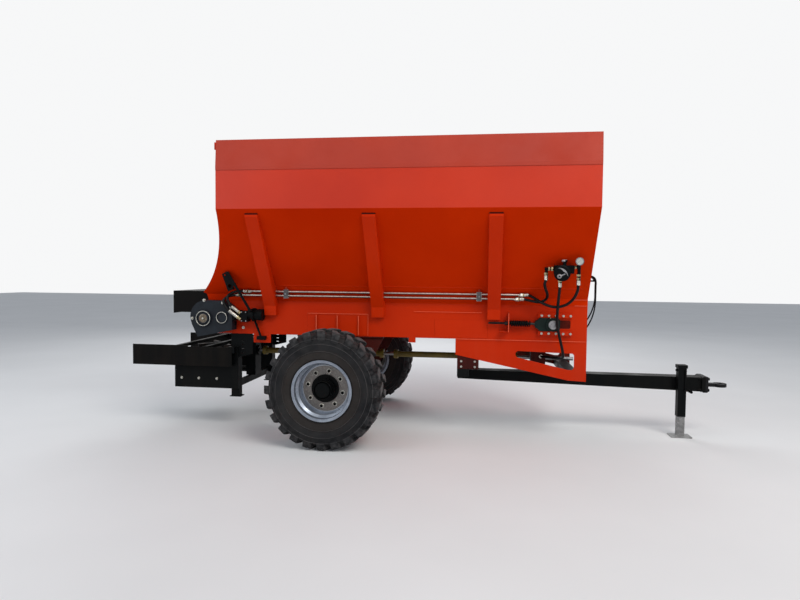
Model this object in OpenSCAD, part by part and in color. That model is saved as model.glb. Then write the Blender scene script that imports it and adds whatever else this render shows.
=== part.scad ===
// Towed spreader with a sloped hopper, a chain floor and two rear spreading discs.
// +X points to the drawbar eye, +Y to the left side, +Z up, ground at z = 0.
// The origin is on the ground, midway along the whole length.

/* [Hopper] */
// Length of the hopper body
hopper_len = 3120; // [2800:10:3400]
// Height of the rim above the ground
rim_z = 2550; // [2450:10:2650]
// Height of the added boards above the body
board_h = 222; // [150:1:300]
// Height of the knee where the sides begin to slope
knee_z = 1978; // [1900:1:2060]
// Height of the fold where the slope meets the floor channel
fold_z = 1248; // [1220:1:1290]
// Half of the width over the upper sides
side_half = 1012; // [940:1:1080]
// Half of the width over the floor channel
channel_half = 487; // [460:1:520]
// Thickness of the hopper sheet
sheet_t = 5; // [4:1:8]
// Lowest edge of the floor channel
channel_z = 880; // [860:1:900]
// Lowest edge of the front aprons
apron_z = 533; // [500:1:560]
// Length of the front aprons
apron_len = 1127; // [1000:1:1250]
// Reach of the sweeping tail behind the hopper
tail_len = 364; // [300:1:420]
// Depth of the sweep in the tail's rear edge
tail_sag = 78; // [60:1:90]
// Width of a side rib
rib_w = 112; // [90:1:130]

/* [Running gear] */
// Outer diameter of a tyre
tyre_d = 985; // [930:5:1020]
// Width of a tyre
tyre_w = 330; // [290:5:350]
// Distance between the tyre centre planes
track_w = 1930; // [1860:5:1980]
// Distance from the hopper's rear edge to the axle
axle_set = 942; // [860:1:1000]
// Diameter of the rim's flanges
rim_d = 505; // [470:1:520]
// Size of the square axle beam
axle_sq = 90; // [70:1:110]

/* [Drawbar] */
// Distance from the hopper front to the tip of the eye
draw_reach = 1325; // [1250:5:1450]
// Width of the drawbar beam
draw_w = 140; // [120:1:150]
// Height of the drawbar's top face
draw_z = 540; // [500:1:560]
// Bore of the hitch eye
eye_bore = 50; // [40:1:60]
// Outer diameter of the hitch eye
eye_d = 116; // [104:1:130]
// Distance from the hopper front to the parking jack
jack_set = 898; // [820:1:940]
// Outer size of the jack's square tube
jack_sq = 70; // [64:1:80]

/* [Floor conveyor] */
// Height of the conveyor shafts
conv_z = 1025; // [1015:1:1035]
// Radius of the chain's path round its wheels
conv_r = 68; // [60:1:74]
// Distance from the hopper's rear edge back to the drive shaft
drive_set = 310; // [290:1:330]
// Distance from the hopper's front back to the idler shaft
idler_set = 294; // [280:1:310]
// Number of slats on the chains
slat_count = 24; // [16:1:28]

/* [Spreading unit] */
// Distance from the hopper's rear edge back to the disc centres
disc_set = 545; // [520:1:570]
// Distance of a disc centre from the middle
disc_y = 290; // [285:1:300]
// Diameter of a disc
disc_d = 520; // [480:5:530]
// Height of the discs
disc_z = 632; // [625:1:640]
// Reach of the side shields behind the hopper
shield_reach = 1043; // [960:1:1100]
// Height of the main drive line
pto_z = 665; // [660:1:675]

/* [Hidden] */
total_len = shield_reach + hopper_len + draw_reach;
x_eye = total_len / 2;
hop_f = x_eye - draw_reach;
hop_r = hop_f - hopper_len;
axle_x = hop_r + axle_set;
axle_z = tyre_d / 2;
tail_x = hop_r - tail_len + 44;
drive_x = hop_r - drive_set;
idler_x = hop_f - idler_set;
disc_x = hop_r - disc_set;
jack_x = hop_f + jack_set;
pump_x = hop_f - 360;
jack_y = -draw_w / 2 - jack_sq / 2 - 8;
strip_z = rim_z - board_h;
floor_z = conv_z + conv_r - 19;
inner_half = channel_half - sheet_t;
// Angle of the sloped sides, and how far their outer face drops at each bend
slope = atan2(knee_z - fold_z, side_half - channel_half);
bend_d = sheet_t * tan((90 - slope) / 2);
// How far the top boards lean in, and how far the front wall is set back
lean = 16;
wall_x = hop_f - 46;
// Gap between pieces that seat on each other
seat = 0.3;
orange = [0.78, 0.20, 0.08];
black = [0.10, 0.10, 0.11];
galv = [0.62, 0.64, 0.66];
steel = [0.55, 0.56, 0.58];
rubber = [0.12, 0.12, 0.12];
dark_red = [0.42, 0.08, 0.07];
charcoal = [0.20, 0.22, 0.26];

// Helpers

// Box given by its two opposite corners
module block(a, b) {
  translate(a) cube(b - a);
}

// Cylinder along X, from x0 to x1
module bar_x(x0, x1, y, z, r) {
  translate([x0, y, z]) rotate([0, 90, 0]) cylinder(h = x1 - x0, r = r, $fn = 48);
}

// Cylinder along Y, from y0 to y1
module bar_y(y0, y1, x, z, r) {
  translate([x, y0, z]) rotate([-90, 0, 0]) cylinder(h = y1 - y0, r = r, $fn = 48);
}

// Cylinder along Z, from z0 to z1
module bar_z(z0, z1, x, y, r) {
  translate([x, y, z0]) cylinder(h = z1 - z0, r = r, $fn = 48);
}

// Shape drawn in X and Z, stretched along Y from y0 to y1
module plate_y(y0, y1) {
  translate([0, y1, 0]) rotate([90, 0, 0]) linear_extrude(y1 - y0) children();
}

// Shape drawn in Y and Z, stretched along X from x0 to x1
module plate_x(x0, x1) {
  translate([x0, 0, 0]) rotate([90, 0, 90]) linear_extrude(x1 - x0) children();
}

// Distance from the middle to the outer face of a sloped side at height z
function side_y(z) = channel_half + sheet_t + (z - fold_z + bend_d) / tan(slope);

// Copy on both sides of the middle plane
module both_sides() {
  children();
  mirror([0, 1, 0]) children();
}

// Rectangle with rounded corners, from corner a to corner b
module round_box(a, b, r) {
  translate([a[0] + r, a[1]]) square([b[0] - a[0] - 2 * r, b[1] - a[1]]);
  translate([a[0], a[1] + r]) square([b[0] - a[0], b[1] - a[1] - 2 * r]);
  for (x = [a[0] + r, b[0] - r], y = [a[1] + r, b[1] - r]) {
    translate([x, y]) circle(r = r, $fn = 32);
  }
}

// Frame of a hose ring: unit vectors across the way from one point to the next
function unit(v) = v / norm(v);
function across(t) = unit(cross(t, [0, 1, 1]));
function way(p, i) = unit(p[min(i + 1, len(p) - 1)] - p[max(i - 1, 0)]);
// Point on a smooth curve through four neighbours, u from 0 to 1
function blend(a, b, c, d, u) = 0.5 * (2 * b + (c - a) * u + (2 * a - 5 * b + 4 * c - d) * u * u
  + (3 * b - a - 3 * c + d) * u * u * u);
function smooth_path(p, n) = [
  for (i = [0 : len(p) - 2], k = [0 : n - 1])
    blend(p[max(i - 1, 0)], p[i], p[i + 1], p[min(i + 2, len(p) - 1)], k / n),
  p[len(p) - 1]
];

// Hose of radius r swept along the points p, its ends square to the first and last stretch
module hose(p, r, steps = 3, sides = 8) {
  path = smooth_path(p, steps);
  rings = len(path);
  n = len(p);
  points = [
    for (i = [0 : rings - 1], k = [0 : sides - 1])
      let (
        t = i == 0 ? unit(p[1] - p[0]) : i == rings - 1 ? unit(p[n - 1] - p[n - 2]) : way(path, i),
        u = across(t), v = cross(t, u), a = 360 * k / sides
      )
        path[i] + r * (cos(a) * u + sin(a) * v)
  ];
  skin = [
    for (i = [0 : rings - 2], k = [0 : sides - 1])
      let (a = i * sides + k, b = i * sides + (k + 1) % sides)
        [a, a + sides, b + sides, b]
  ];
  cap_a = [for (k = [0 : sides - 1]) k];
  cap_b = [for (k = [sides - 1 : -1 : 0]) (rings - 1) * sides + k];
  polyhedron(points, concat([cap_a], skin, [cap_b]), convexity = 10);
}

// Hopper

// Outline of one side in Y and Z, from the knee down the slope to the lap strip
module side_section() {
  polygon([
    [side_half, strip_z], [side_half, knee_z], [channel_half, fold_z],
    [channel_half, fold_z - 58], [channel_half + sheet_t, fold_z - 58],
    [channel_half + sheet_t, fold_z - bend_d], [side_half + sheet_t, knee_z - bend_d],
    [side_half + sheet_t, strip_z]
  ]);
}

// Concave rear edge: an arc from the knee to the tail's tip, with a lip under it
module tail_cut() {
  p = [hop_r, knee_z];
  q = [hop_r - tail_len, fold_z + 14];
  chord = norm(q - p);
  r = (chord * chord / 4 + tail_sag * tail_sag) / (2 * tail_sag);
  m = (p + q) / 2;
  n = [p[1] - q[1], q[0] - p[0]] / chord;
  plate_y(-1, 1400) {
    polygon([
      [hop_r - 900, rim_z + 50], [hop_r, rim_z + 50], p, q, q + [30, -15], q + [46, -63],
      q + [46, -140], [hop_r - 900, q[1] - 140]
    ]);
    intersection() {
      translate(m - n * (r - tail_sag)) circle(r = r, $fn = 128);
      translate(m) rotate(atan2(q[1] - p[1], q[0] - p[0])) translate([-chord / 2, -1])
        square([chord, tail_sag + 10]);
    }
  }
}

// One hopper side, drawn on the left
module hopper_side() {
  color(orange) difference() {
    plate_x(hop_r - 420, hop_f) side_section();
    tail_cut();
  }
}
module hopper_side_left() {
  hopper_side();
}
module hopper_side_right() {
  mirror([0, 1, 0]) hopper_side();
}

// Boards above the sides, leaning in a little, with a folded rim
module top_boards() {
  color(orange) both_sides() plate_x(hop_r, hop_f) polygon([
    [side_half + sheet_t, strip_z - 30], [side_half + 2 * sheet_t, strip_z - 30],
    [side_half + 2 * sheet_t, strip_z], [side_half + 2 * sheet_t - lean, rim_z],
    [side_half - 35 - lean, rim_z], [side_half - 35 - lean, rim_z - sheet_t],
    [side_half + sheet_t - lean, rim_z - sheet_t], [side_half + sheet_t, strip_z]
  ]);
}

// Clear section of the hopper, shrunk by g on the sides
module clear_section(g, z0, z1) {
  low = inner_half - g;
  mid = side_half - g;
  high = side_half + sheet_t - lean - g;
  polygon([
    [-low, z0], [low, z0], [low, fold_z - 4], [mid, knee_z], [mid, strip_z], [high, z1],
    [-high, z1], [-mid, strip_z], [-mid, knee_z], [-low, fold_z - 4]
  ]);
}

// Front wall with two uprights, a rim and a viewing grille
module front_wall() {
  win_w = 620;
  win_z = rim_z - 190;
  x = wall_x;
  f = hop_f - 6;
  w = side_half - 60;
  color(orange) {
    plate_x(x - sheet_t, x) difference() {
      clear_section(seat, conv_z + conv_r + 45, rim_z - 6);
      translate([-win_w / 2, win_z - 260]) square([win_w, 260]);
    }
    for (y = [-560, 560]) {
      block([x, y - 35, knee_z - 300], [f, y + 35, rim_z - 6]);
    }
    block([x, -w, rim_z - 66], [f, w, rim_z - 6]);
    block([x, -w, knee_z - 30], [f, w, knee_z + 30]);
    for (k = [1 : 7]) {
      y = -win_w / 2 + k * win_w / 8;
      block([x - sheet_t, y - 5, win_z - 262], [x + 5, y + 5, win_z + 2]);
    }
  }
}

// Rear wall over the outlet, with guides for the gate
gate_w = 860;
outlet_z = floor_z + 330;
module rear_wall() {
  color(orange) {
    plate_x(hop_r, hop_r + sheet_t) difference() {
      clear_section(seat, floor_z + 40, rim_z - 6);
      translate([-inner_half + 20, floor_z]) square([2 * inner_half - 40, outlet_z - floor_z]);
    }
    for (y = [-700, 700]) {
      block([hop_r - 40, y - 35, knee_z - 120], [hop_r, y + 35, rim_z - 6]);
    }
    block([hop_r - 40, -side_half + 60, rim_z - 66], [hop_r, side_half - 60, rim_z - 6]);
    for (s = [-1, 1]) {
      x0 = hop_r - 9;
      y0 = s * (gate_w / 2 + 6);
      y1 = s * (gate_w / 2 + 40);
      ylip = s * (gate_w / 2 - 18);
      block([x0, min(y0, y1), floor_z + 60], [hop_r, max(y0, y1), outlet_z + 420]);
      block([x0 - 5, min(ylip, y1), floor_z + 60], [x0, max(ylip, y1), outlet_z + 420]);
    }
  }
}

// Sliding gate that meters the flow out of the hopper
module metering_gate() {
  color(black) {
    block([hop_r - 8.5, -gate_w / 2, floor_z + 70], [hop_r - 0.5, gate_w / 2, outlet_z + 60]);
    block([hop_r - 40, -gate_w / 2 + 40, outlet_z], [hop_r - 8.5, gate_w / 2 - 40, outlet_z + 40]);
    block([hop_r - 32, -16, outlet_z + 40], [hop_r - 16, 16, outlet_z + 500]);
  }
}

// Three tapered ribs on each side, from under the knee down to the channel
rib_at = [300, 1298, 2324];
module ribs() {
  top_z = knee_z - 36;
  low_z = fold_z - 190;
  y_top = side_y(top_z) + seat;
  y_low = channel_half + sheet_t + seat;
  color(orange) difference() {
    both_sides() for (x = rib_at) {
      difference() {
        plate_x(hop_r + x - rib_w / 2, hop_r + x + rib_w / 2) polygon([
          [y_low, low_z], [y_low, fold_z - bend_d], [y_top, top_z], [y_top + 4, top_z],
          [y_top + 4, top_z - 30], [y_low + 56, fold_z - 100], [y_low + 44, low_z]
        ]);
        plate_x(hop_r + x - rib_w / 2 + 5, hop_r + x + rib_w / 2 - 5) polygon([
          [y_low - 9, low_z + 5], [y_low - 9, fold_z - 3], [y_top - 12, top_z - 5],
          [y_top - 6, top_z - 5], [y_top - 1, top_z - 32], [y_low + 51, fold_z - 100],
          [y_low + 39, low_z + 5]
        ]);
      }
    }
    for (z = pipe_z) {
      bar_x(hop_r + rib_at[0] - rib_w, hop_r + rib_at[2] + rib_w, pipe_y, z, pipe_r + 4);
    }
  }
}

// Floor channel

// Thicker plates welded on the side plate, the first one over the axle with three bars
module stiff_plates() {
  f = channel_half;
  block([axle_x - 302, f, channel_z + 8], [axle_x + 266, f + 3, channel_z + 206]);
  for (x = [-216, -20, 176]) {
    block([axle_x + x - 5, f, channel_z + 8], [axle_x + x + 5, f + 10, channel_z + 190]);
  }
  block([axle_x + 864, f, channel_z + 8], [axle_x + 1331, f + 2, channel_z + 170]);
}

// Side plate of the floor channel, drawn on the left
module channel_side() {
  f = hop_f;
  r = hop_r;
  color(orange) stiff_plates();
  color(orange) difference() {
    plate_y(inner_half, channel_half) polygon([
      [tail_x - 40, fold_z - 60], [tail_x - 40, channel_z + 40], [tail_x, channel_z],
      [r + 121, channel_z], [r + 121, channel_z - 80], [r + 287, channel_z - 80],
      [r + 287, channel_z], [r + 1575, channel_z], [r + 1575, channel_z - 44],
      [r + 1637, channel_z - 44], [r + 1637, channel_z], [f, channel_z],
      [f, fold_z - 4], [tail_x + 4, fold_z - 4], [tail_x + 4, fold_z - 60]
    ]);
    plate_y(inner_half - 1, channel_half + 1)
      round_box([f - 440, conv_z - 36], [f - 140, conv_z + 36], 14);
    block([r + 160, inner_half - 1, channel_z - 53], [r + 246, channel_half + 1, channel_z - 17]);
    bar_y(inner_half - 1, channel_half + 1, drive_x, conv_z, 34);
  }
}
module channel_left() {
  channel_side();
}
module channel_right() {
  mirror([0, 1, 0]) channel_side();
}

// Aprons below the channel's front end, each with its hand window
module front_aprons() {
  f = hop_f;
  color(orange) both_sides() difference() {
    plate_y(inner_half, channel_half) polygon([
      [f - apron_len, channel_z], [f - apron_len, channel_z - 142],
      [f - 150, apron_z + 6], [f, apron_z], [f, channel_z]
    ]);
    plate_y(inner_half - 1, channel_half + 1) polygon([
      [f - 584, channel_z - 95], [f - 601, channel_z - 110], [f - 601, channel_z - 135],
      [f - 590, channel_z - 150], [f - 155, channel_z - 248], [f - 118, channel_z - 248],
      [f - 104, channel_z - 234], [f - 104, channel_z - 120], [f - 118, channel_z - 106]
    ]);
  }
}

// Floor sheet that the slats slide over
module floor_plate() {
  color(steel) block([drive_x + 74, -inner_half, floor_z - 6], [idler_x - 74, inner_half, floor_z]);
}

// Cross members: upper ones carry the floor, lower ones tie the side plates
upper_at = [60, 300, 800, 1298, 1800, 2324, 2700];
lower_at = [20, 560, 960, 1330, 2030, 2780];
module cross_members() {
  color(orange) {
    for (x = upper_at) {
      difference() {
        block([hop_r + x - 30, -inner_half, floor_z - 76], [hop_r + x + 30, inner_half, floor_z - 6]);
        block([hop_r + x - 25, -inner_half - 1, floor_z - 77],
          [hop_r + x + 25, inner_half + 1, floor_z - 11]);
      }
    }
    for (x = lower_at) {
      block([hop_r + x - 30, -inner_half, channel_z], [hop_r + x + 30, inner_half, channel_z + 45]);
    }
  }
}

// Two chains as closed loops, joined by slats
chain_y = 330;
module loop_band(r0, r1, y0, y1) {
  plate_y(y0, y1) difference() {
    union() {
      translate([drive_x, conv_z]) circle(r = r1, $fn = 64);
      translate([idler_x, conv_z]) circle(r = r1, $fn = 64);
      translate([drive_x, conv_z - r1]) square([idler_x - drive_x, 2 * r1]);
    }
    translate([drive_x, conv_z]) circle(r = r0, $fn = 64);
    translate([idler_x, conv_z]) circle(r = r0, $fn = 64);
    translate([drive_x, conv_z - r0]) square([idler_x - drive_x, 2 * r0]);
  }
}
module conveyor() {
  span = idler_x - drive_x;
  color(steel) {
    for (s = [-1, 1]) {
      loop_band(conv_r - 9, conv_r + 9, s * chain_y - 13, s * chain_y + 13);
    }
    for (k = [0 : slat_count - 1], side = [-1, 1]) {
      x = drive_x + (k + 0.5) * span / slat_count;
      z = conv_z + side * conv_r;
      block([x - 20, -inner_half + 30, z - 9], [x + 20, inner_half - 30, z + 9]);
    }
  }
}

// Shaft with two chain wheels
module chain_shaft(x, y0, y1) {
  color(steel) {
    bar_y(y0, y1, x, conv_z, 20);
    for (s = [-1, 1]) {
      bar_y(s * chain_y - 11, s * chain_y + 11, x, conv_z, conv_r - 9.3);
    }
  }
}
module drive_shaft() {
  chain_shaft(drive_x, red_y1 - 8, channel_half + 45);
  color(steel) bar_y(red_y1 - 20, red_y1 - 8, drive_x, conv_z, 40);
}
module idler_shaft() {
  chain_shaft(idler_x, -bear_y - 84, bear_y + 84);
  color(steel) both_sides() bar_y(bear_y + 66 + seat, bear_y + 74, idler_x, conv_z, 38);
}

// Sliding bearings that tension the chains, one on each side
bear_y = channel_half + seat;
bear_h = 58;
stop_x = idler_x - 372;
module takeup_bearings() {
  color([0.10, 0.14, 0.12]) both_sides() difference() {
    union() {
      plate_y(bear_y, bear_y + 42) translate([idler_x, conv_z]) polygon([
        [-152, -16], [-106, -bear_h], [44, -bear_h], [62, -40], [62, 40], [44, bear_h],
        [-106, bear_h], [-152, 16]
      ]);
      bar_y(bear_y, bear_y + 66, idler_x, conv_z, 58);
    }
    bar_y(bear_y - 1, bear_y + 67, idler_x, conv_z, 20.05);
  }
}

// Rails above and below each bearing, bolted to the side plate
module takeup_guides() {
  a = stop_x;
  b = channel_half;
  color(orange) both_sides() {
    for (s = [-1, 1]) {
      za = conv_z + s * (bear_h + seat);
      zb = conv_z + s * (bear_h + 36);
      block([idler_x - 122, b, min(za, zb)], [idler_x + 168, b + 34, max(za, zb)]);
    }
    difference() {
      union() {
        block([a - 6, b, conv_z - 70], [a, b + 90, conv_z + 98]);
        block([a - 76, b, conv_z - 70], [a - 6, b + 6, conv_z - 8]);
        block([a - 76, b, conv_z - 70], [a - 6, b + 70, conv_z - 64]);
      }
      bar_x(a - 7, a + 1, screw_y, screw_z, screw_r + seat);
    }
  }
}

// Threaded rod with its spring, pressing the bearing forward
spring_turns = 6;
screw_y = channel_half + 35;
screw_z = conv_z + 6;
screw_r = 11;
module takeup_screws() {
  a = stop_x;
  color(steel) both_sides() {
    bar_x(idler_x - 548, idler_x - 152 - seat, screw_y, screw_z, screw_r);
    bar_x(a, a + 10, screw_y, screw_z, 24);
    bar_x(a - 28, a - 6, screw_y, screw_z, 19);
    bar_x(a + 10, a + 174, screw_y, screw_z, 18);
    for (k = [0 : spring_turns]) {
      bar_x(a + 14 + k * 25, a + 23 + k * 25, screw_y, screw_z, 27);
    }
    bar_x(a + 174, a + 182, screw_y, screw_z, 27);
  }
}

// Floor drive

// Reduction gearbox on the right end of the drive shaft
red_y0 = -channel_half - 12;
red_y1 = red_y0 - 104;
module reducer() {
  a = axle_x;
  color(charcoal) difference() {
    union() {
      plate_y(red_y1, red_y0) {
        polygon([
          [drive_x, conv_z + 140], [drive_x, conv_z + 164], [a - 1066, conv_z + 162],
          [a - 985, conv_z + 104], [a - 982, conv_z - 104], [a - 1316, conv_z - 172],
          [drive_x - 122, conv_z - 50]
        ]);
        translate([drive_x + 16, conv_z + 16]) circle(r = 150, $fn = 96);
      }
      bar_y(red_y1 - 22, red_y1, drive_x, conv_z, 74);
      bar_y(red_y1 - 14, red_y1, drive_x + 176, conv_z + 10, 56);
      bar_y(red_y0, -channel_half - seat, drive_x, conv_z, 80);
    }
    bar_y(red_y1 - 23, -channel_half, drive_x, conv_z, 20.05);
    bar_y(red_y1 - 23, red_y1 - 8 + seat, drive_x, conv_z, 41);
    difference() {
      bar_y(red_y1 - 23, red_y1 - 12, drive_x, conv_z, 66);
      bar_y(red_y1 - 24, red_y1, drive_x, conv_z, 50);
    }
    bar_y(red_y1 - 15, red_y1 - 6, drive_x + 176, conv_z + 10, 49);
  }
}

// Flange bearing at the other end of the drive shaft
module drive_bearing() {
  color(charcoal) difference() {
    union() {
      bar_y(channel_half + seat, channel_half + 12, drive_x, conv_z, 66);
      bar_y(channel_half + 12, channel_half + 34, drive_x, conv_z, 42);
    }
    bar_y(channel_half, channel_half + 35, drive_x, conv_z, 20.05);
  }
}

// Piece drawn up from the origin, turned to run from p towards q
module along(p, q) {
  d = q - p;
  translate(p) rotate([0, acos(d[2] / norm(d)), atan2(d[1], d[0])]) children();
}

// Hydraulic motor on the gearbox's front face, its axis along the machine
motor_y = (red_y0 + red_y1) / 2;
motor_z = conv_z + 38;
motor_r = 52;
module hydraulic_motor() {
  a = axle_x;
  color(black) {
    block([a - 981, motor_y - 48, motor_z - 48], [a - 962, motor_y + 48, motor_z + 48]);
    bar_x(a - 962, a - 904, motor_y, motor_z, 40);
    block([a - 904, motor_y - 42, motor_z - 66], [a - 842, motor_y + 42, motor_z + 34]);
    bar_x(a - 842, a - 800, motor_y, motor_z, 40);
    bar_x(a - 800, a - 702, motor_y, motor_z, motor_r);
  }
}

// Stay for the motor: a bar from a slotted plate on the slope, and a rod down to the channel
arm_y = -side_y(1460) - 14;
module torque_arm() {
  a = axle_x;
  ring_x = a - 792;
  foot = [a - 739, -channel_half - 16, channel_z - 35];
  color(black) difference() {
    union() {
      plate_y(arm_y - 8, arm_y) difference() {
        polygon([
          [a - 1048, 1432], [a - 1010, 1452], [a - 984, 1452], [a - 932, 1352],
          [a - 950, 1292], [a - 990, 1276]
        ]);
        translate([a - 974, 1326]) circle(r = 17, $fn = 32);
        translate([a - 1022, 1424]) circle(r = 8, $fn = 24);
      }
      plate_y(arm_y - 20, arm_y - 8) polygon([
        [a - 1008, 1456], [a - 984, 1456], [a - 766, 1104], [a - 790, 1104]
      ]);
      plate_x(a - 1000, a - 992) polygon([
        [arm_y, 1450], [-side_y(1450) - seat, 1450], [-side_y(1290) - seat, 1290], [arm_y, 1290]
      ]);
      block([ring_x - 8, arm_y - 20, motor_z + 30], [ring_x + 14, motor_y - 30, motor_z + 56]);
      bar_x(ring_x - 8, ring_x + 14, motor_y, motor_z, motor_r + 10);
      along([ring_x + 3, motor_y + 12, motor_z - motor_r - 4], foot)
        cylinder(h = norm(foot - [ring_x + 3, motor_y + 12, motor_z - motor_r - 4]), r = 10, $fn = 32);
      block([a - 780, -channel_half - 36, channel_z - 51], [a - 699, -inner_half + 6, channel_z - 19]);
    }
    bar_x(ring_x - 9, ring_x + 15, motor_y, motor_z, motor_r + seat);
  }
}

// Hydraulics

// Two steel pipes along the right side, held by clamps
pipe_y = -channel_half - 50;
pipe_r = 10;
pipe_z = [1277, 1240];
pipe_x0 = [88, 4];
pipe_x1 = [2543, 2505];
module steel_pipes() {
  w = -channel_half - sheet_t - seat;
  color(galv) {
    for (k = [0, 1]) {
      bar_x(hop_r + pipe_x0[k], hop_r + pipe_x1[k], pipe_y, pipe_z[k], pipe_r);
      bar_x(hop_r + pipe_x1[k], hop_r + pipe_x1[k] + 34, pipe_y, pipe_z[k], 15);
    }
    for (x = [455, 2195]) {
      plate_x(hop_r + x - 22, hop_r + x + 22) polygon([
        [w, 1218], [w, fold_z - bend_d], [-side_y(1296) - seat, 1296], [pipe_y - 15, 1296],
        [pipe_y - 15, 1218]
      ]);
    }
  }
}

// Valve that sets the floor speed, with its dial, knob, tee and gauge
valve_x = 2882;
valve_z = 1498;
valve_y = -side_y(valve_z + 34) - 14.3;
tee_x = 116;
tee_y = -54;
elbow_x = -140;
drain_x = -26;
module flow_valve() {
  x = hop_r + valve_x;
  y = valve_y;
  color(black) {
    block([x - 78, y - 70, valve_z - 34], [x + 78, y + 14, valve_z + 34]);
    bar_y(y - 96, y - 70, x - 20, valve_z - 30, 66);
    bar_z(valve_z + 34, valve_z + 62, x + 4, y - 44, 14);
    bar_z(valve_z + 62, valve_z + 78, x + 4, y - 44, 22);
  }
  color(steel) {
    bar_x(x + elbow_x - 14, x - 78, y - 30, valve_z + 4, 14);
    bar_z(valve_z - 50, valve_z + 4, x + elbow_x, y - 30, 13);
    bar_z(valve_z - 110, valve_z - 34, x + drain_x, y - 20, 14);
    bar_x(x + 78, x + tee_x, y + tee_y, valve_z + 20, 12);
    bar_z(valve_z - 90, valve_z + 84, x + tee_x, y + tee_y, 14);
    bar_y(y + tee_y - 26, y + tee_y, x + tee_x, valve_z + 66, 9);
    bar_y(y + tee_y - 50, y + tee_y - 26, x + tee_x, valve_z + 66, 32);
  }
}

// Point d before a fitting, on its axis
function before(fit, d) = fit[0] - unit(fit[1] - fit[0]) * d;

// Hoses from the valve to the pipes, down to the pump, and from the pipes to the motor
hose_r = 12;
module valve_hoses() {
  x = hop_r + valve_x;
  y = valve_y;
  r = hop_r;
  a = axle_x;
  py = pipe_y;
  w = -channel_half;
  color(rubber) {
    hose([[x + elbow_x, y - 30, valve_z - 50 - seat], [x + elbow_x, y - 30, valve_z - 84],
      [x - 148, y - 24, valve_z - 126], [x - 132, y + 4, valve_z - 174],
      [x - 116, y + 50, valve_z - 216], [x - 126, y + 100, valve_z - 254],
      [x - 172, py - 50, valve_z - 276], [x - 236, py - 20, valve_z - 270],
      [r + pipe_x1[1] + 74, py, pipe_z[1]], [r + pipe_x1[1] + 34 + seat, py, pipe_z[1]]], hose_r);
    hose([[x + tee_x, y + tee_y, valve_z - 90 - seat], [x + tee_x, y + tee_y, valve_z - 124],
      [x + 113, y - 44, valve_z - 172], [x + 90, y - 14, valve_z - 234],
      [x + 44, y + 26, valve_z - 286], [x - 26, y + 44, valve_z - 312],
      [x - 96, y + 54, valve_z - 306], [x - 166, y + 80, valve_z - 276],
      [x - 220, py - 34, valve_z - 242], [r + pipe_x1[0] + 74, py, pipe_z[0]],
      [r + pipe_x1[0] + 34 + seat, py, pipe_z[0]]], hose_r);
    hose([[x + drain_x, y - 20, valve_z - 110 - seat], [x + drain_x, y - 20, valve_z - 150],
      [x - 32, y - 10, valve_z - 240], [x - 34, y + 30, valve_z - 350],
      [x - 28, w - 120, valve_z - 450], [x - 12, w - 104, valve_z - 530],
      [x + 14, w - 76, valve_z - 630], [x + 34, w - 36, valve_z - 704],
      [x + 44, w + 40, valve_z - 765], [x + 24, -330, valve_z - 786], [x - 40, -200, pto_z + 34],
      [pump_x + 20, -104, pto_z + 26], [pump_x + 20, -62 - seat, pto_z + 26]], hose_r);
    hose([[r + pipe_x0[0] - seat, py, pipe_z[0]], [r + 44, py, pipe_z[0]],
      [r - 30, py - 26, pipe_z[0] - 8], [r - 74, motor_y - 66, pipe_z[0] - 46],
      [r - 62, motor_y - 70, pipe_z[0] - 104], before(fit_top, 34), before(fit_top, seat)], hose_r);
    hose([[r + pipe_x0[1] - seat, py, pipe_z[1]], [r - 30, py, pipe_z[1]],
      [r - 80, py - 44, pipe_z[1] - 12], [r - 112, motor_y - 72, pipe_z[1] - 50],
      [r - 90, motor_y - 74, pipe_z[1] - 106], before(fit_low, 34), before(fit_low, seat)], hose_r);
  }
}

// Crimped hose ends at the motor, and plug-in couplers that stand in the rack
fit_top = [[axle_x - 950, motor_y - 62, conv_z + 92], [axle_x - 902, motor_y - 43.3, motor_z + 12]];
fit_low = [[axle_x - 972, motor_y - 66, conv_z + 54], [axle_x - 900, motor_y - 43.3, motor_z - 46]];
rack_y = [-437, -399];
rack_x = hop_f - 26;
shelf_z = 1300;
module hose_fittings() {
  color(steel) {
    for (f = [fit_top, fit_low]) {
      along(f[0], f[1]) {
        cylinder(h = norm(f[1] - f[0]) * 0.55, r = 14, $fn = 32);
        cylinder(h = norm(f[1] - f[0]) - 11, r = 9, $fn = 32);
      }
    }
    for (y = rack_y) {
      bar_z(shelf_z - 36, shelf_z + 40, rack_x, y, 12);
      bar_z(shelf_z + seat, shelf_z + 12, rack_x, y, 17);
    }
  }
}

// Rack on the front wall: a shelf for the couplers and a bar that the hoses hang over
bar_zc = 1397;
bar_x0 = hop_f + 24;
bar_r = 44;
module hose_rack() {
  y0 = rack_y[0] - 24;
  y1 = rack_y[1] + 24;
  ym = (y0 + y1) / 2;
  color(black) {
    difference() {
      block([wall_x, y0, shelf_z - 6], [rack_x + 24, y1, shelf_z]);
      for (y = rack_y) {
        bar_z(shelf_z - 7, shelf_z + 1, rack_x, y, 12 + seat);
      }
    }
    block([wall_x, y0, shelf_z - 50], [wall_x + 5, y1, shelf_z - 6]);
    difference() {
      bar_y(y0, y1, bar_x0, bar_zc, bar_r - 2 * seat);
      bar_y(y0 - 1, y1 + 1, bar_x0, bar_zc, bar_r - 6);
      block([bar_x0 - 60, y0 - 1, bar_zc - 60], [bar_x0 + 60, y1 + 1, bar_zc]);
    }
    block([wall_x, ym - 4, bar_zc], [bar_x0 + bar_r - 3, ym + 4, bar_zc + 14]);
    block([wall_x, ym - 20, bar_zc - 20], [wall_x + 5, ym + 20, bar_zc + 40]);
  }
}

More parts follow.
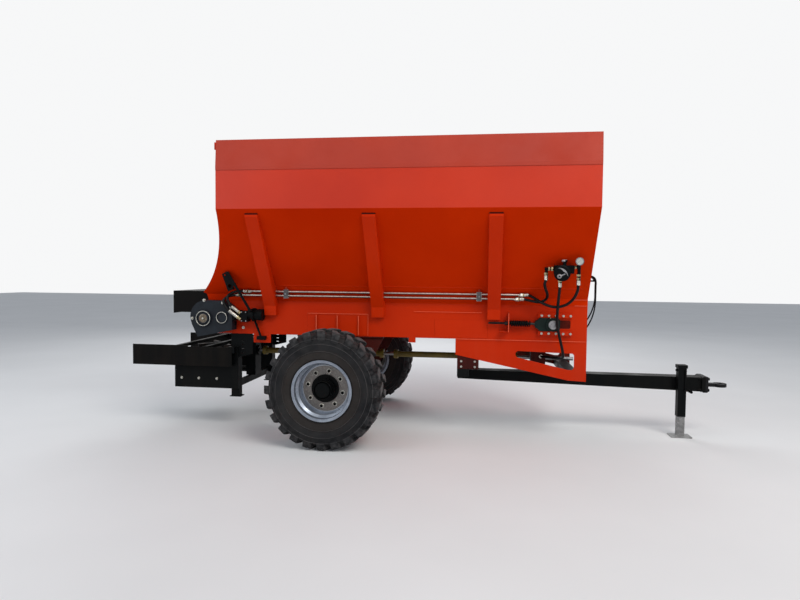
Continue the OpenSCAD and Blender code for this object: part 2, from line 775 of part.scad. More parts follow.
// The two hoses to the tractor: up from the pump, hung over the rack's saddle, into the couplers
front_r = 6;
function over_saddle(y) = [
  for (a = [0 : 30 : 180])
    [bar_x0 + (bar_r + front_r) * cos(a), y, bar_zc + (bar_r + front_r) * sin(a)]
];
function from_hopper(list) = [for (p = list) [hop_f + p[0], p[1], p[2]]];
function from_pump(list) = [for (p = list) [pump_x + p[0], p[1], pto_z + p[2]]];
supply_route = concat(
  from_pump([
    [20, 62 + seat, 26], [20, 80, 26], [21, 100, 26], [32, 128, 31], [62, 146, 46],
    [104, 140, 68], [150, 108, 95]
  ]),
  from_hopper([
    [-150, 40, 792], [-95, -60, 832], [-55, -160, 876], [-22, -262, 925], [8, -345, 978],
    [36, -405, 1045], [58, -432, 1120], [71, -437, 1200], [74, -437, 1290], [74, -437, 1360]
  ]),
  over_saddle(-437),
  [[rack_x, -437, 1368], [rack_x, -437, shelf_z + 40 + seat]]
);
return_route = concat(
  from_pump([
    [-20, 62 + seat, 50], [-20, 82, 50], [-18, 104, 50], [-8, 134, 57], [24, 158, 75],
    [70, 160, 99], [118, 132, 127], [168, 84, 155]
  ]),
  from_hopper([
    [-145, 14, 852], [-105, -70, 888], [-68, -160, 928], [-34, -245, 972], [-2, -318, 1022],
    [30, -370, 1085], [56, -394, 1155], [72, -399, 1230], [74, -399, 1310], [74, -399, 1360]
  ]),
  over_saddle(-399),
  [[rack_x, -399, 1368], [rack_x, -399, shelf_z + 40 + seat]]
);
module supply_hose() {
  color(rubber) hose(supply_route, front_r);
}
module return_hose() {
  color(rubber) hose(return_route, front_r);
}

// Gear pump driven by the main drive line
module oil_pump() {
  color(dark_red) difference() {
    union() {
      block([pump_x - 60, -62, pto_z - 50], [pump_x + 60, 62, pto_z + 90]);
      block([pump_x - 75, -75, pto_z - 65], [pump_x - 60, 75, pto_z + 105]);
      block([pump_x - 90, -40, pto_z + 60], [pump_x - 75, 40, channel_z + 4]);
      block([pump_x - 110, -inner_half, channel_z - 12], [pump_x - 60, inner_half, channel_z + 10]);
    }
    bar_x(pump_x - 91, pump_x + 61, 0, pto_z, 16.05);
  }
}

// Drawbar

// Beam under the aprons, deeper towards its front flange
module drawbar() {
  w = draw_w / 2;
  f = hop_f;
  color(black) difference() {
    union() {
      plate_y(-w, w) polygon([
        [f - 1121, draw_z - 84], [f + 1093, draw_z - 133], [f + 1093, draw_z - 4],
        [f - 1121, draw_z]
      ]);
      plate_y(-92, 92) polygon([
        [f + 1085, draw_z - 126], [f + 1097, draw_z - 138], [f + 1115, draw_z - 138],
        [f + 1115, draw_z + 6], [f + 1097, draw_z + 6], [f + 1085, draw_z - 6]
      ]);
    }
    for (y = [-70, 70], z = [draw_z - 118, draw_z - 16]) {
      bar_x(f + 1084, f + 1116, y, z, 9);
    }
  }
}

// Cross beams and end plates that bolt the drawbar to the aprons
module drawbar_brackets() {
  f = hop_f;
  color(dark_red) {
    for (x = [f - 1110, f - 160]) {
      block([x, -inner_half, draw_z], [x + 100, inner_half, draw_z + 70]);
    }
    both_sides() {
      block([f - 1110, inner_half - 10, draw_z + 70], [f - 920, inner_half, channel_z - seat]);
      block([f - 160, inner_half - 10, draw_z + 70], [f - 60, inner_half, draw_z + 90]);
      block([f - 1110, draw_w / 2, draw_z - 70], [f - 1010, draw_w / 2 + 10, draw_z]);
    }
  }
}

// Ring eye on a bolted flange
module hitch_eye() {
  z = draw_z - 78;
  f = hop_f + 1115 + seat;
  c = x_eye - eye_d / 2;
  color([0.15, 0.15, 0.16]) difference() {
    union() {
      plate_y(-92, 92) polygon([
        [f, draw_z - 138], [f + 16, draw_z - 138], [f + 24, draw_z - 128],
        [f + 24, draw_z - 4], [f + 16, draw_z + 6], [f, draw_z + 6]
      ]);
      plate_y(-32, 32) polygon([
        [f + 24, z - 26], [f + 40, z - 15], [f + 40, z + 15], [f + 24, z + 26]
      ]);
      block([f + 39, -30, z - 15], [c, 30, z + 15]);
      bar_z(z - 15, z + 15, c, 0, eye_d / 2);
    }
    bar_z(z - 16, z + 16, c, 0, eye_bore / 2);
    for (y = [-70, 70], zb = [draw_z - 118, draw_z - 16]) {
      bar_x(f - 1, f + 25, y, zb, 9);
    }
  }
}

// Parking jack

// Fixed square tube, clamped to the drawbar's right side, with a head for the crank
wall_j = 4;
leg_half = jack_sq / 2 - wall_j - seat;
module jack_tube() {
  h = jack_sq / 2;
  color(black) difference() {
    union() {
      block([jack_x - h, jack_y - h, 186], [jack_x + h, jack_y + h, 626]);
      block([jack_x - h - 7, jack_y - h - 5, 626], [jack_x + h + 7, jack_y + h + 5, 654]);
      block([jack_x - 60, jack_y + h, draw_z - 122], [jack_x + 60, -draw_w / 2, draw_z - 10]);
      bar_x(jack_x - h - 14, jack_x + h + 8, jack_y, 604, 11);
    }
    block([jack_x - h + wall_j, jack_y - h + wall_j, 185],
      [jack_x + h - wall_j, jack_y + h - wall_j, 626]);
  }
}

// Crank that hangs beside the tube when folded
module jack_crank() {
  y = jack_y - jack_sq / 2;
  color(steel) {
    bar_y(y - 20, y - seat, jack_x + 22, 604, 8);
    bar_z(424, 604, jack_x + 22, y - 11, 5);
    bar_x(jack_x + 14, jack_x + 56, y - 11, 424, 6);
    bar_y(y - 70, y - 3, jack_x + 56, 424, 12);
  }
}

// Sliding leg with its foot plate
module jack_leg() {
  color(galv) {
    block([jack_x - leg_half, jack_y - leg_half, 10], [jack_x + leg_half, jack_y + leg_half, 460]);
    block([jack_x - 90, jack_y - 65, 0], [jack_x + 90, jack_y + 65, 10]);
  }
}

// Running gear

// Square axle beam with a round stub on each side
stub_in = track_w / 2 - 120;
module axle_beam() {
  s = axle_sq / 2;
  color(black) {
    block([axle_x - s, -stub_in, axle_z - s], [axle_x + s, stub_in, axle_z + s]);
    both_sides() bar_y(stub_in - 1, track_w / 2 + 84, axle_x, axle_z, 32);
  }
}

// Gusset plates between the side plates and the axle
module axle_plates() {
  color(dark_red) difference() {
    both_sides() {
      plate_y(channel_half - 30, channel_half - 16) polygon([
        [axle_x - 400, channel_z], [axle_x + 400, channel_z],
        [axle_x + 400, channel_z - 15], [axle_x + 170, axle_z - 60],
        [axle_x - 170, axle_z - 60], [axle_x - 400, channel_z - 15]
      ]);
      block([axle_x - 400, channel_half - 60, channel_z - 12], [axle_x + 400, channel_half, channel_z]);
    }
    block([axle_x - axle_sq / 2, -600, axle_z - axle_sq / 2],
      [axle_x + axle_sq / 2, 600, axle_z + axle_sq / 2]);
  }
}

// Tyre, drawn round the Z axis with its outer side up
lugs = 34;
module tyre() {
  r = tyre_d / 2;
  w = tyre_w / 2;
  b = rim_d / 2 - 14;
  f = rim_d / 2 + 1.5;
  fw = w - 18;
  color(rubber) {
    rotate_extrude($fn = 96) polygon([
      [b, -fw + 12], [f, -fw + 9], [f + 3, -fw - 3], [b + 70, -w + 4], [r - 110, -w],
      [r - 60, -w + 6], [r - 26, -w + 34], [r - 18, -w + 70], [r - 18, w - 70],
      [r - 26, w - 34], [r - 60, w - 6], [r - 110, w], [b + 70, w - 4], [f + 3, fw + 3],
      [f, fw - 9], [b, fw - 12]
    ]);
    for (k = [0 : lugs - 1], s = [-1, 1]) {
      rotate([0, 0, (k + (s > 0 ? 0 : 0.5)) * 360 / lugs]) rotate([90, 0, 0])
        translate([0, 0, -24]) linear_extrude(48) polygon([
          [r - 64, s * (w - 12)], [r - 60, s * w], [r - 20, s * (w - 16)], [r, s * (w - 50)],
          [r - 1, s * 42], [r - 22, s * 38], [r - 30, s * (w - 40)]
        ]);
    }
  }
}

// Rim with a stepped barrel and a flat disc with eight stud holes
stud_pcd = 300;
stud_turn = 33;
hub_r = 116;
disc_w = 12;
module rim() {
  r = rim_d / 2;
  w = tyre_w / 2 - 18;
  b = rim_d / 2 - 16.3;
  color(galv) difference() {
    rotate_extrude($fn = 96) polygon([
      [r, w], [r, w - 7], [b + 2, w - 10], [b, w - 46], [b - 20, w - 64], [b - 20, -w + 64],
      [b, -w + 46], [b + 2, -w + 10], [r, -w + 7], [r, -w], [b - 6, -w + 3], [b - 8, -w + 44],
      [b - 27, -w + 62], [b - 27, 0], [hub_r, 0], [hub_r, disc_w], [b - 27, disc_w],
      [b - 27, w - 62], [b - 8, w - 44], [b - 6, w - 3]
    ]);
    for (k = [0 : 7]) {
      rotate([0, 0, k * 45 + stud_turn]) translate([stud_pcd / 2, 0, -1])
        cylinder(h = disc_w + 2, r = 10, $fn = 32);
    }
  }
}

// Hub with studs, nuts and a long cap
cap_r = 74;
module hub() {
  color(black) difference() {
    union() {
      translate([0, 0, -70]) cylinder(h = 70 - seat, r = 160, $fn = 64);
      translate([0, 0, -1]) cylinder(h = disc_w + 16, r = hub_r - seat, $fn = 64);
      translate([0, 0, disc_w + 15]) cylinder(h = 20, r = 88, $fn = 64);
      translate([0, 0, disc_w + 15]) cylinder(h = 88, r = cap_r, $fn = 64);
      for (k = [0 : 7]) {
        rotate([0, 0, k * 45 + stud_turn]) translate([stud_pcd / 2, 0, -1]) {
          cylinder(h = disc_w + 24, r = 8, $fn = 24);
          translate([0, 0, disc_w + 1 + seat]) cylinder(h = 14, r = 14, $fn = 6);
        }
      }
    }
    translate([0, 0, -71]) cylinder(h = 160, r = 32.05, $fn = 48);
  }
}

// Turn a wheel piece onto the axle, s = -1 on the right and 1 on the left
module at_wheel(s) {
  translate([axle_x, s * track_w / 2, axle_z]) rotate([-s * 90, 0, 0]) children();
}
module tyre_right() {
  at_wheel(-1) tyre();
}
module tyre_left() {
  at_wheel(1) tyre();
}
module rim_right() {
  at_wheel(-1) rim();
}
module rim_left() {
  at_wheel(1) rim();
}
module hub_right() {
  at_wheel(-1) hub();
}
module hub_left() {
  at_wheel(1) hub();
}

// Drive line

case_x0 = hop_r - 122;
case_x1 = hop_r - 24;
// Shaft from the front stub to the transfer case, with a splined end
module pto_shaft() {
  tip = hop_f - 40;
  color(steel) {
    bar_x(case_x1 - 60, tip - 120, 0, pto_z, 16);
    bar_x(tip - 120, tip - 80, 0, pto_z, 17.5);
    difference() {
      bar_x(tip - 80, tip, 0, pto_z, 17.3);
      for (k = [0 : 5]) {
        translate([tip - 76, 0, pto_z]) rotate([k * 60, 0, 0]) translate([0, -4, 14]) cube([77, 8, 5]);
      }
    }
  }
}

// Fixed guard tubes with flared ends, on two hangers
module pto_guard() {
  a = axle_x;
  color([0.55, 0.47, 0.10]) difference() {
    union() {
      bar_x(a + 430, pump_x - 200, 0, pto_z, 28.5);
      bar_x(a + 430, a + 470, 0, pto_z, 44);
      bar_x(pump_x - 240, pump_x - 200, 0, pto_z, 44);
      bar_x(case_x1 + 60, a + 330, 0, pto_z, 28.5);
      bar_x(case_x1 + 60, case_x1 + 100, 0, pto_z, 44);
      bar_x(a + 290, a + 330, 0, pto_z, 44);
      for (x = [hop_r + 560, hop_r + 2030]) {
        block([x - 20, -4, pto_z + 20], [x + 20, 4, channel_z]);
      }
    }
    bar_x(case_x1 + 59, pump_x - 199, 0, pto_z, 24);
  }
}

// Case that takes the drive line down to the level of the disc gearboxes
drive_z = 470;
beam_z = 421;
module transfer_case() {
  color(black) difference() {
    union() {
      block([case_x0, -75, beam_z], [case_x1, 75, pto_z + 75]);
      bar_x(case_x1, case_x1 + 18, 0, pto_z, 50);
      bar_x(disc_x + 58, case_x0, 0, drive_z, 30);
      block([case_x0, -75, pto_z + 75], [case_x1, 75, 760]);
    }
    bar_x(case_x1 - 61, case_x1 + 19, 0, pto_z, 16.05);
  }
}

// Bevel gearboxes under the discs, joined by a cross tube
module spinner_gearboxes() {
  color(black) difference() {
    union() {
      block([disc_x - 58, -58, beam_z - 8], [disc_x + 58, 58, drive_z + 58]);
      bar_y(-disc_y, disc_y, disc_x, drive_z, 32);
      for (s = [-1, 1]) {
        bar_z(beam_z, drive_z + 74, disc_x, s * disc_y, 78);
        bar_z(drive_z + 74, drive_z + 104, disc_x, s * disc_y, 48);
        block([disc_x - 105, s * disc_y - 60, beam_z], [disc_x + 105, s * disc_y + 60, beam_z + 16]);
      }
    }
    for (s = [-1, 1]) {
      bar_z(drive_z, drive_z + 105, disc_x, s * disc_y, 20.3);
    }
  }
}

// Posts, side plates and beams that carry the spreading unit
module spinner_frame() {
  r = hop_r;
  color(black) {
    both_sides() {
      block([r - 100, inner_half - 75, 282], [r - 25, inner_half, channel_z + 60]);
      plate_y(495, 500) polygon([
        [r - 655, 361], [r - 100, 361], [r - 100, 591], [r - 560, 591], [r - 655, 566]
      ]);
      block([r - 100, inner_half, 361], [r - 25, 500, 760]);
      block([r - 640, 500, 586], [r - 60, 560, 591]);
      block([r - 100, 490, 700], [r - 40, 560, 760]);
      block([r - 118, inner_half - 90, 282], [r - 10, inner_half, 290]);
      plate_y(inner_half - 8, inner_half) difference() {
        polygon([
          [r - 25, 657], [r - 25, channel_z - seat], [r + 109, channel_z - seat], [r + 109, 690]
        ]);
        for (z = [700, 738, 776, 814]) {
          translate([r - 2, z - 4]) square([26, 8]);
        }
      }
    }
    for (x = [r - 100, disc_x - 105, disc_x + 65]) {
      block([x, -495, beam_z - 60], [x + 40, 495, beam_z]);
    }
    block([r - 100, -inner_half + 75, 760], [r - 25, inner_half - 75, 800]);
  }
}

// Shields beside the discs, with two bars across
module side_shields() {
  r = hop_r;
  color(black) {
    both_sides() {
      plate_y(560, 565) polygon([
        [r - shield_reach, 575], [r - 60, 575], [r - 60, 755], [r - 492, 755], [r - 492, 766],
        [r - shield_reach, 766]
      ]);
      block([r - shield_reach, 552, 575], [r - shield_reach + 5, 560, 766]);
    }
    for (x = [r - 640, r - 340]) {
      block([x, -560, 730], [x + 40, 560, 760]);
    }
  }
}

// Hood behind the conveyor that guides the load down onto the discs: top, cheeks and back
hood_z = 1267;
hood_r = hop_r - 670;
hood_f = hop_r - 300;
module rear_hood() {
  color(black) {
    block([hood_r, -inner_half, hood_z], [hood_f, inner_half, hood_z + sheet_t]);
    for (y = [-300, 300]) {
      block([hood_f - 20, y - 20, hood_z - sheet_t], [hood_f + 30, y + 20, hood_z]);
    }
  }
}
module hood_sides() {
  color(black) both_sides() plate_y(inner_half - sheet_t, inner_half) polygon([
    [hood_r, hood_z - 197], [hood_f - 30, hood_z - 197], [hood_f - 30, hood_z - 79],
    [hood_f, hood_z - 79], [hood_f, hood_z], [hood_r, hood_z]
  ]);
}
module hood_back() {
  color(black) block([hood_r - sheet_t, -inner_half, hood_z - 207], [hood_r, inner_half, hood_z + sheet_t]);
}

// Spreading disc with its vanes and shaft
vanes = 4;
module disc(y, turn) {
  color(steel) translate([disc_x, y, 0]) rotate([0, 0, turn]) {
    bar_z(drive_z + 30, disc_z, 0, 0, 20);
    bar_z(disc_z - 26, disc_z, 0, 0, 44);
    bar_z(disc_z, disc_z + 6, 0, 0, disc_d / 2);
    bar_z(disc_z + 6, disc_z + 40, 0, 0, 46);
    for (k = [0 : vanes - 1]) {
      rotate([0, 0, k * 360 / vanes]) {
        block([50, -3, disc_z + 6], [disc_d / 2 - 6, 3, disc_z + 64]);
        block([50, -3, disc_z + 58], [disc_d / 2 - 6, 24, disc_z + 64]);
      }
    }
  }
}
module disc_right() {
  disc(-disc_y, 0);
}
module disc_left() {
  mirror([0, 1, 0]) disc(-disc_y, 45);
}

hopper_side_right();
hopper_side_left();
top_boards();
front_wall();
rear_wall();
ribs();
channel_right();
channel_left();
front_aprons();
floor_plate();
cross_members();
conveyor();
drive_shaft();
idler_shaft();
takeup_bearings();
takeup_screws();
takeup_guides();
drive_bearing();
reducer();
hydraulic_motor();
torque_arm();
steel_pipes();
flow_valve();
hose_fittings();
valve_hoses();
hose_rack();
supply_hose();
return_hose();
oil_pump();
drawbar();
drawbar_brackets();
hitch_eye();
jack_tube();
jack_crank();
axle_beam();
axle_plates();
pto_guard();
transfer_case();
spinner_gearboxes();
spinner_frame();
side_shields();
rear_hood();
hood_sides();
hood_back();
tyre_right();
rim_right();
hub_right();
tyre_left();
rim_left();
hub_left();
jack_leg();
metering_gate();
disc_right();
disc_left();
pto_shaft();
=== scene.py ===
"""Looks of a towed spreader: finishes, worked detail, floor and light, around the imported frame.

Units are metres. +X points to the drawbar eye, +Y to the left side, +Z up, ground at z = 0.
"""
import random
from itertools import product
from math import cos, pi, radians, sin, sqrt

import bmesh
import bpy
from mathutils import Matrix, Vector

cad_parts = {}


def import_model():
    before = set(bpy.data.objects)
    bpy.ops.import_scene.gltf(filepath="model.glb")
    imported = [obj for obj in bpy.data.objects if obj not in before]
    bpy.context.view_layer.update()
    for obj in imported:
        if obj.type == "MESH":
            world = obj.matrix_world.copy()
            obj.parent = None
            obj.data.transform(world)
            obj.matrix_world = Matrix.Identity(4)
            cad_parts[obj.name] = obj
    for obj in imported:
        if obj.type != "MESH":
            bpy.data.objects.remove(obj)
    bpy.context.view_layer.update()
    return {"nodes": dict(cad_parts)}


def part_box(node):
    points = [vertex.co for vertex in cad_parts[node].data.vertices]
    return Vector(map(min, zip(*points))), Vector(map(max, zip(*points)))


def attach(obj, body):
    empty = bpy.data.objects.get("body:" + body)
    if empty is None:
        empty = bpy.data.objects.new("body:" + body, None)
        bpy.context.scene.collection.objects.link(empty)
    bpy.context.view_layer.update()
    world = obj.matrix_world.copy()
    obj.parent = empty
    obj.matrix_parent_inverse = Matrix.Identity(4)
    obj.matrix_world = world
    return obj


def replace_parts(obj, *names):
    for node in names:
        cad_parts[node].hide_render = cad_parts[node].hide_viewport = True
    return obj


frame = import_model()
NODES = frame["nodes"]
random.seed(11)
SIDES = (-1, 1)

# Places read from the frame


def low(node):
    """Lowest corner of a CAD node."""
    return Vector(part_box(node)[0])


def high(node):
    """Highest corner of a CAD node."""
    return Vector(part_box(node)[1])


def centre(node):
    """Middle of a CAD node's box."""
    return (low(node) + high(node)) / 2


AXLE = centre("axle_beam")
TYRE_R = (high("tyre_right").z - low("tyre_right").z) / 2
TRACK_HALF = -centre("tyre_right").y
HOP_F = high("hopper_side_right").x
HOP_R = low("top_boards").x
CHANNEL_HALF = high("channel_left").y
CHANNEL_IN = low("channel_left").y
# Heights of the channel's foot, its fold, the hopper's knee and the conveyor's middle
CHANNEL_Z = 0.880
FOLD_Z = 1.248
KNEE_Z = 1.978
CONV_Z = 1.025
# Half of a rib's width
RIB_HALF = 0.056
DRIVE = centre("drive_shaft")
IDLER = centre("idler_shaft")
RIM_EDGE = (high("rim_right").z - low("rim_right").z) / 2

# Camera, solved from the photograph's straight edges; its place is given from the axle

CAM_FROM_AXLE = (1.280, -5.736)
CAM_HEIGHT = 1.446
CAM_YAW = -7.909
CAM_PITCH = 2.487
CAM_ROLL = 0.559
FOCAL_PX = 591.8
IMAGE_WIDTH_PX = 800
SENSOR_MM = 36.0


def add_object(name, data):
    """Object in the scene that shows some data."""
    obj = bpy.data.objects.new(name, data)
    bpy.context.collection.objects.link(obj)
    return obj


def make_camera():
    """Camera at the photograph's place, with its lens."""
    yaw, pitch, roll = (radians(a) for a in (CAM_YAW, CAM_PITCH, CAM_ROLL))
    ahead = Vector((sin(yaw) * cos(pitch), cos(yaw) * cos(pitch), -sin(pitch)))
    right = Vector((cos(yaw), -sin(yaw), 0))
    up = right.cross(ahead)
    tilted_right = cos(roll) * right + sin(roll) * up
    tilted_up = cos(roll) * up - sin(roll) * right
    data = bpy.data.cameras.new("camera")
    data.sensor_width = SENSOR_MM
    data.lens = FOCAL_PX / IMAGE_WIDTH_PX * SENSOR_MM
    cam = add_object("camera", data)
    place = Matrix((tilted_right, tilted_up, -ahead)).transposed().to_4x4()
    place.translation = (AXLE.x + CAM_FROM_AXLE[0], CAM_FROM_AXLE[1], CAM_HEIGHT)
    cam.matrix_world = place
    bpy.context.scene.camera = cam


make_camera()

# Materials


class Finish:
    """A node material that is built up step by step."""

    def __init__(self, name, rough, metal=0.0, coat=0.0, spec=0.5):
        self.mat = bpy.data.materials.new(name)
        self.mat.use_nodes = True
        self.tree = self.mat.node_tree
        self.shader = self.tree.nodes["Principled BSDF"]
        for key, value in (("Roughness", rough), ("Metallic", metal), ("Coat Weight", coat),
                           ("Coat Roughness", 0.12), ("Specular IOR Level", spec)):
            self.shader.inputs[key].default_value = value
        self.where = self.add("ShaderNodeTexCoord").outputs["Object"]

    def add(self, kind, **values):
        """New node; in_X sets its input X, any other name its own setting."""
        node = self.tree.nodes.new(kind)
        for key, value in values.items():
            if key.startswith("in_"):
                self.feed(value, node.inputs[key[3:].replace("_", " ")])
            else:
                setattr(node, key, value)
        return node

    def feed(self, value, socket):
        """Gives an input another node's output, a colour or a number."""
        if isinstance(value, bpy.types.NodeSocket):
            self.tree.links.new(value, socket)
        else:
            socket.default_value = (*value, 1.0) if isinstance(value, tuple) else value

    def noise(self, scale, detail=4.0, rough=0.55, stretch=None):
        """Noise over the object's own space, stretched if asked."""
        node = self.add("ShaderNodeTexNoise", in_Scale=scale, in_Detail=detail, in_Roughness=rough)
        source = self.where
        if stretch:
            mapping = self.add("ShaderNodeMapping", in_Vector=self.where)
            mapping.inputs["Scale"].default_value = stretch
            source = mapping.outputs["Vector"]
        self.feed(source, node.inputs["Vector"])
        return node.outputs["Fac"]

    def grey(self, source, low_at, high_at, low_value=0.0, high_value=1.0):
        """Maps a value between two levels, held at both ends."""
        node = self.add("ShaderNodeMapRange", in_Value=source, in_From_Min=low_at, in_From_Max=high_at,
                        in_To_Min=low_value, in_To_Max=high_value)
        return node.outputs["Result"]

    def cloud(self, scale, detail, *levels, **how):
        """Noise mapped between two levels."""
        return self.grey(self.noise(scale, detail, **how), *levels)

    def mix(self, factor, a, b):
        """Mixes two colours, each a socket or a plain colour."""
        node = self.add("ShaderNodeMix", data_type="RGBA", in_Factor=factor)
        self.feed(a, node.inputs[6])
        self.feed(b, node.inputs[7])
        return node.outputs[2]

    def compute(self, operation, *values):
        """Result of a math node on sockets or numbers."""
        node = self.add("ShaderNodeMath", operation=operation)
        for value, socket in zip(values, node.inputs):
            self.feed(value, socket)
        return node.outputs["Value"]

    def times(self, a, b):
        return self.compute("MULTIPLY", a, b)

    def along(self, axis, source=None):
        """One coordinate of a vector, or else of the place on the object."""
        split = self.add("ShaderNodeSeparateXYZ", in_Vector=source if source else self.where)
        return split.outputs[axis]

    def from_middle(self):
        """Distance from the upright plane along the machine's middle."""
        return self.compute("ABSOLUTE", self.along("Y"))

    def from_axle(self):
        """Distance from the wheels' axis."""
        place = self.where
        for operation, vector in (("SUBTRACT", (AXLE.x, 0.0, AXLE.z)), ("MULTIPLY", (1.0, 0.0, 1.0))):
            node = self.add("ShaderNodeVectorMath", operation=operation)
            self.feed(place, node.inputs[0])
            node.inputs[1].default_value = vector
            place = node.outputs["Vector"]
        size = self.add("ShaderNodeVectorMath", operation="LENGTH")
        self.feed(place, size.inputs[0])
        return size.outputs["Value"]

    def band(self, value, at, half):
        """One near a value, fading to 0 on both sides."""
        return self.grey(self.compute("ABSOLUTE", self.compute("SUBTRACT", value, at)), half, 0.0)

    def facing_up(self, least=0.1, most=0.9):
        """How far a surface faces the sky, from 0 to 1."""
        geometry = self.add("ShaderNodeNewGeometry")
        return self.grey(self.along("Z", geometry.outputs["Normal"]), least, most)

    def colour(self, value):
        self.feed(value, self.shader.inputs["Base Color"])

    def mottle(self, main, shade, *cloud):
        """Base colour of two tones in patches."""
        self.colour(self.mix(self.cloud(*cloud), main, shade))

    def roughness(self, value):
        self.feed(value, self.shader.inputs["Roughness"])

    def bump(self, source, strength, distance):
        """Relief on top of what relief the shader already has."""
        node = self.add("ShaderNodeBump", in_Strength=strength, in_Distance=distance, in_Height=source)
        normal = self.shader.inputs["Normal"]
        if normal.links:
            self.feed(normal.links[0].from_socket, node.inputs["Normal"])
        self.feed(node.outputs["Normal"], normal)


def rgb(*levels):
    """Colour written as the 0 to 255 values of a display, in linear light."""
    values = [v / 255 for v in levels]
    return tuple(v / 12.92 if v <= 0.04045 else ((v + 0.055) / 1.055) ** 2.4 for v in values)


DUST = rgb(150, 128, 104)


def paint(name, main, shade, rough=0.42, coat=0.0, dust=0.06, dust_top=1.1, peel=0.05, spec=0.08,
          shade_inside=False, black_below=None, shade_above=None, gloss_above=None):
    """Sprayed paint: faint tone changes, orange peel, dust low down and on flat tops.

    If asked: painted shade on the channel's inner faces, black below one height, painted shade above another,
    more gloss above another."""
    edge = 0.001
    f = Finish(name, rough, coat=coat, spec=spec)
    tone = f.mix(f.cloud(0.9, 3.0, 0.35, 0.65), main, shade)
    fine = f.mix(f.times(f.cloud(26.0, 5.0, 0.4, 0.75), 0.12), tone, shade)
    streak = f.noise(9.0, 6.0, 0.65, stretch=(1.0, 1.0, 0.12))
    low_down = f.grey(f.along("Z"), dust_top, 0.15)
    patch = f.times(f.grey(streak, 0.42, 0.72), low_down)
    dusty = f.mix(f.times(patch, dust), fine, DUST)
    tops = f.times(f.times(f.facing_up(), f.cloud(14.0, 4.0, 0.35, 0.7)), dust * 1.2)
    dust_and_shade = f.mix(tops, dusty, DUST)
    # Painted shade on the channel's inner faces, which lie in shade
    if shade_inside:
        inner_face_shade = f.times(f.grey(f.from_middle(), CHANNEL_IN + 0.0012, CHANNEL_IN + 0.0004),
                         f.cloud(5.0, 5.0, 0.25, 0.6, 0.75, 1.0))
        dust_and_shade = f.mix(inner_face_shade, dust_and_shade, rgb(44, 16, 12))
    if black_below:
        below = f.grey(f.along("Z"), black_below + edge, black_below - edge)
        dust_and_shade = f.mix(below, dust_and_shade, rgb(7, 9, 10))
    # Painted shade: dark above a height, for the shadow at the ribs' upper ends
    if shade_above:
        above = f.grey(f.along("Z"), shade_above - edge, shade_above + edge)
        dust_and_shade = f.mix(above, dust_and_shade, rgb(52, 6, 4))
    if gloss_above:
        f.feed(f.grey(f.along("Z"), gloss_above - 2 * edge, gloss_above + 2 * edge, 0.01, 0.42),
               f.shader.inputs["Specular IOR Level"])
    f.colour(dust_and_shade)
    f.roughness(f.cloud(4.0, 4.0, 0.3, 0.7, rough * 0.8, min(1.0, rough * 1.35)))
    f.bump(f.noise(220.0, 2.0), peel, 0.0006)
    return f.mat


def galvanised(name, main, shade, rough=0.38, spangle=55.0, underside_shade=None):
    """Zinc with its crystal pattern and a few dull patches; if asked, painted shade and reflection darken its
    underside towards a given colour.
    """
    f = Finish(name, rough, metal=0.85)
    cells = f.add("ShaderNodeTexVoronoi", in_Scale=spangle, in_Vector=f.where)
    crystal = f.mix(f.grey(cells.outputs["Color"], 0.2, 0.8), main, shade)
    dull = f.times(f.cloud(7.0, 5.0, 0.45, 0.75), 0.45)
    worn = f.mix(dull, crystal, rgb(132, 130, 126))
    # Painted shade and reflection on faces that turn downwards
    if underside_shade:
        worn = f.mix(f.facing_up(-0.45, 0.25), underside_shade, worn)
    f.colour(worn)
    f.roughness(f.grey(cells.outputs["Distance"], 0.0, 0.6, rough * 0.75, rough * 1.3))
    f.bump(f.noise(160.0, 3.0), 0.06, 0.0006)
    return f.mat


def rim_zinc():
    """Rim's zinc: bluish and even on the barrel and lip, greyer and speckled on the disc, with a painted
    highlight along the disc's edge.
    """
    f = Finish("rim_zinc", 0.34, metal=0.7)
    away = f.from_axle()
    barrel = f.mix(f.cloud(16.0, 4.0, 0.35, 0.7), rgb(150, 158, 170), rgb(124, 132, 144))
    disc = f.mix(f.cloud(70.0, 5.0, 0.35, 0.68, rough=0.7), rgb(126, 122, 118), rgb(96, 92, 90))
    worn = f.mix(f.grey(away, 0.196, 0.188), barrel, disc)
    # Painted highlight: a bright thin ring along the disc's edge
    line = f.times(f.band(away, 0.193, 0.0022), 0.8)
    f.colour(f.mix(line, worn, rgb(214, 220, 226)))
    f.roughness(f.cloud(26.0, 4.0, 0.3, 0.7, 0.26, 0.46))
    f.bump(f.noise(160.0, 3.0), 0.06, 0.0006)
    return f.mat


def bare_metal(name, main, shade, rough=0.35, rust=0.0):
    """Machined or worn steel, with a little surface rust where asked."""
    f = Finish(name, rough, metal=1.0)
    brushed = f.mix(f.cloud(60.0, 6.0, 0.35, 0.7), main, shade)
    if rust:
        spots = f.times(f.cloud(11.0, 8.0, 0.5, 0.72, rough=0.7), rust)
        brushed = f.mix(spots, brushed, rgb(112, 68, 40))
    f.colour(brushed)
    f.roughness(f.cloud(38.0, 4.0, 0.3, 0.7, rough * 0.8, min(1.0, rough * 1.5)))
    f.bump(f.noise(120.0, 4.0), 0.08, 0.0005)
    return f.mat


def cast(name, main, shade, rough=0.5, spec=0.3):
    """Painted casting with its sandy skin."""
    f = Finish(name, rough, metal=0.0, spec=spec)
    f.mottle(main, shade, 18.0, 5.0, 0.35, 0.7)
    f.bump(f.noise(190.0, 4.0, 0.7), 0.35, 0.0012)
    f.bump(f.noise(30.0, 3.0), 0.12, 0.002)
    return f.mat


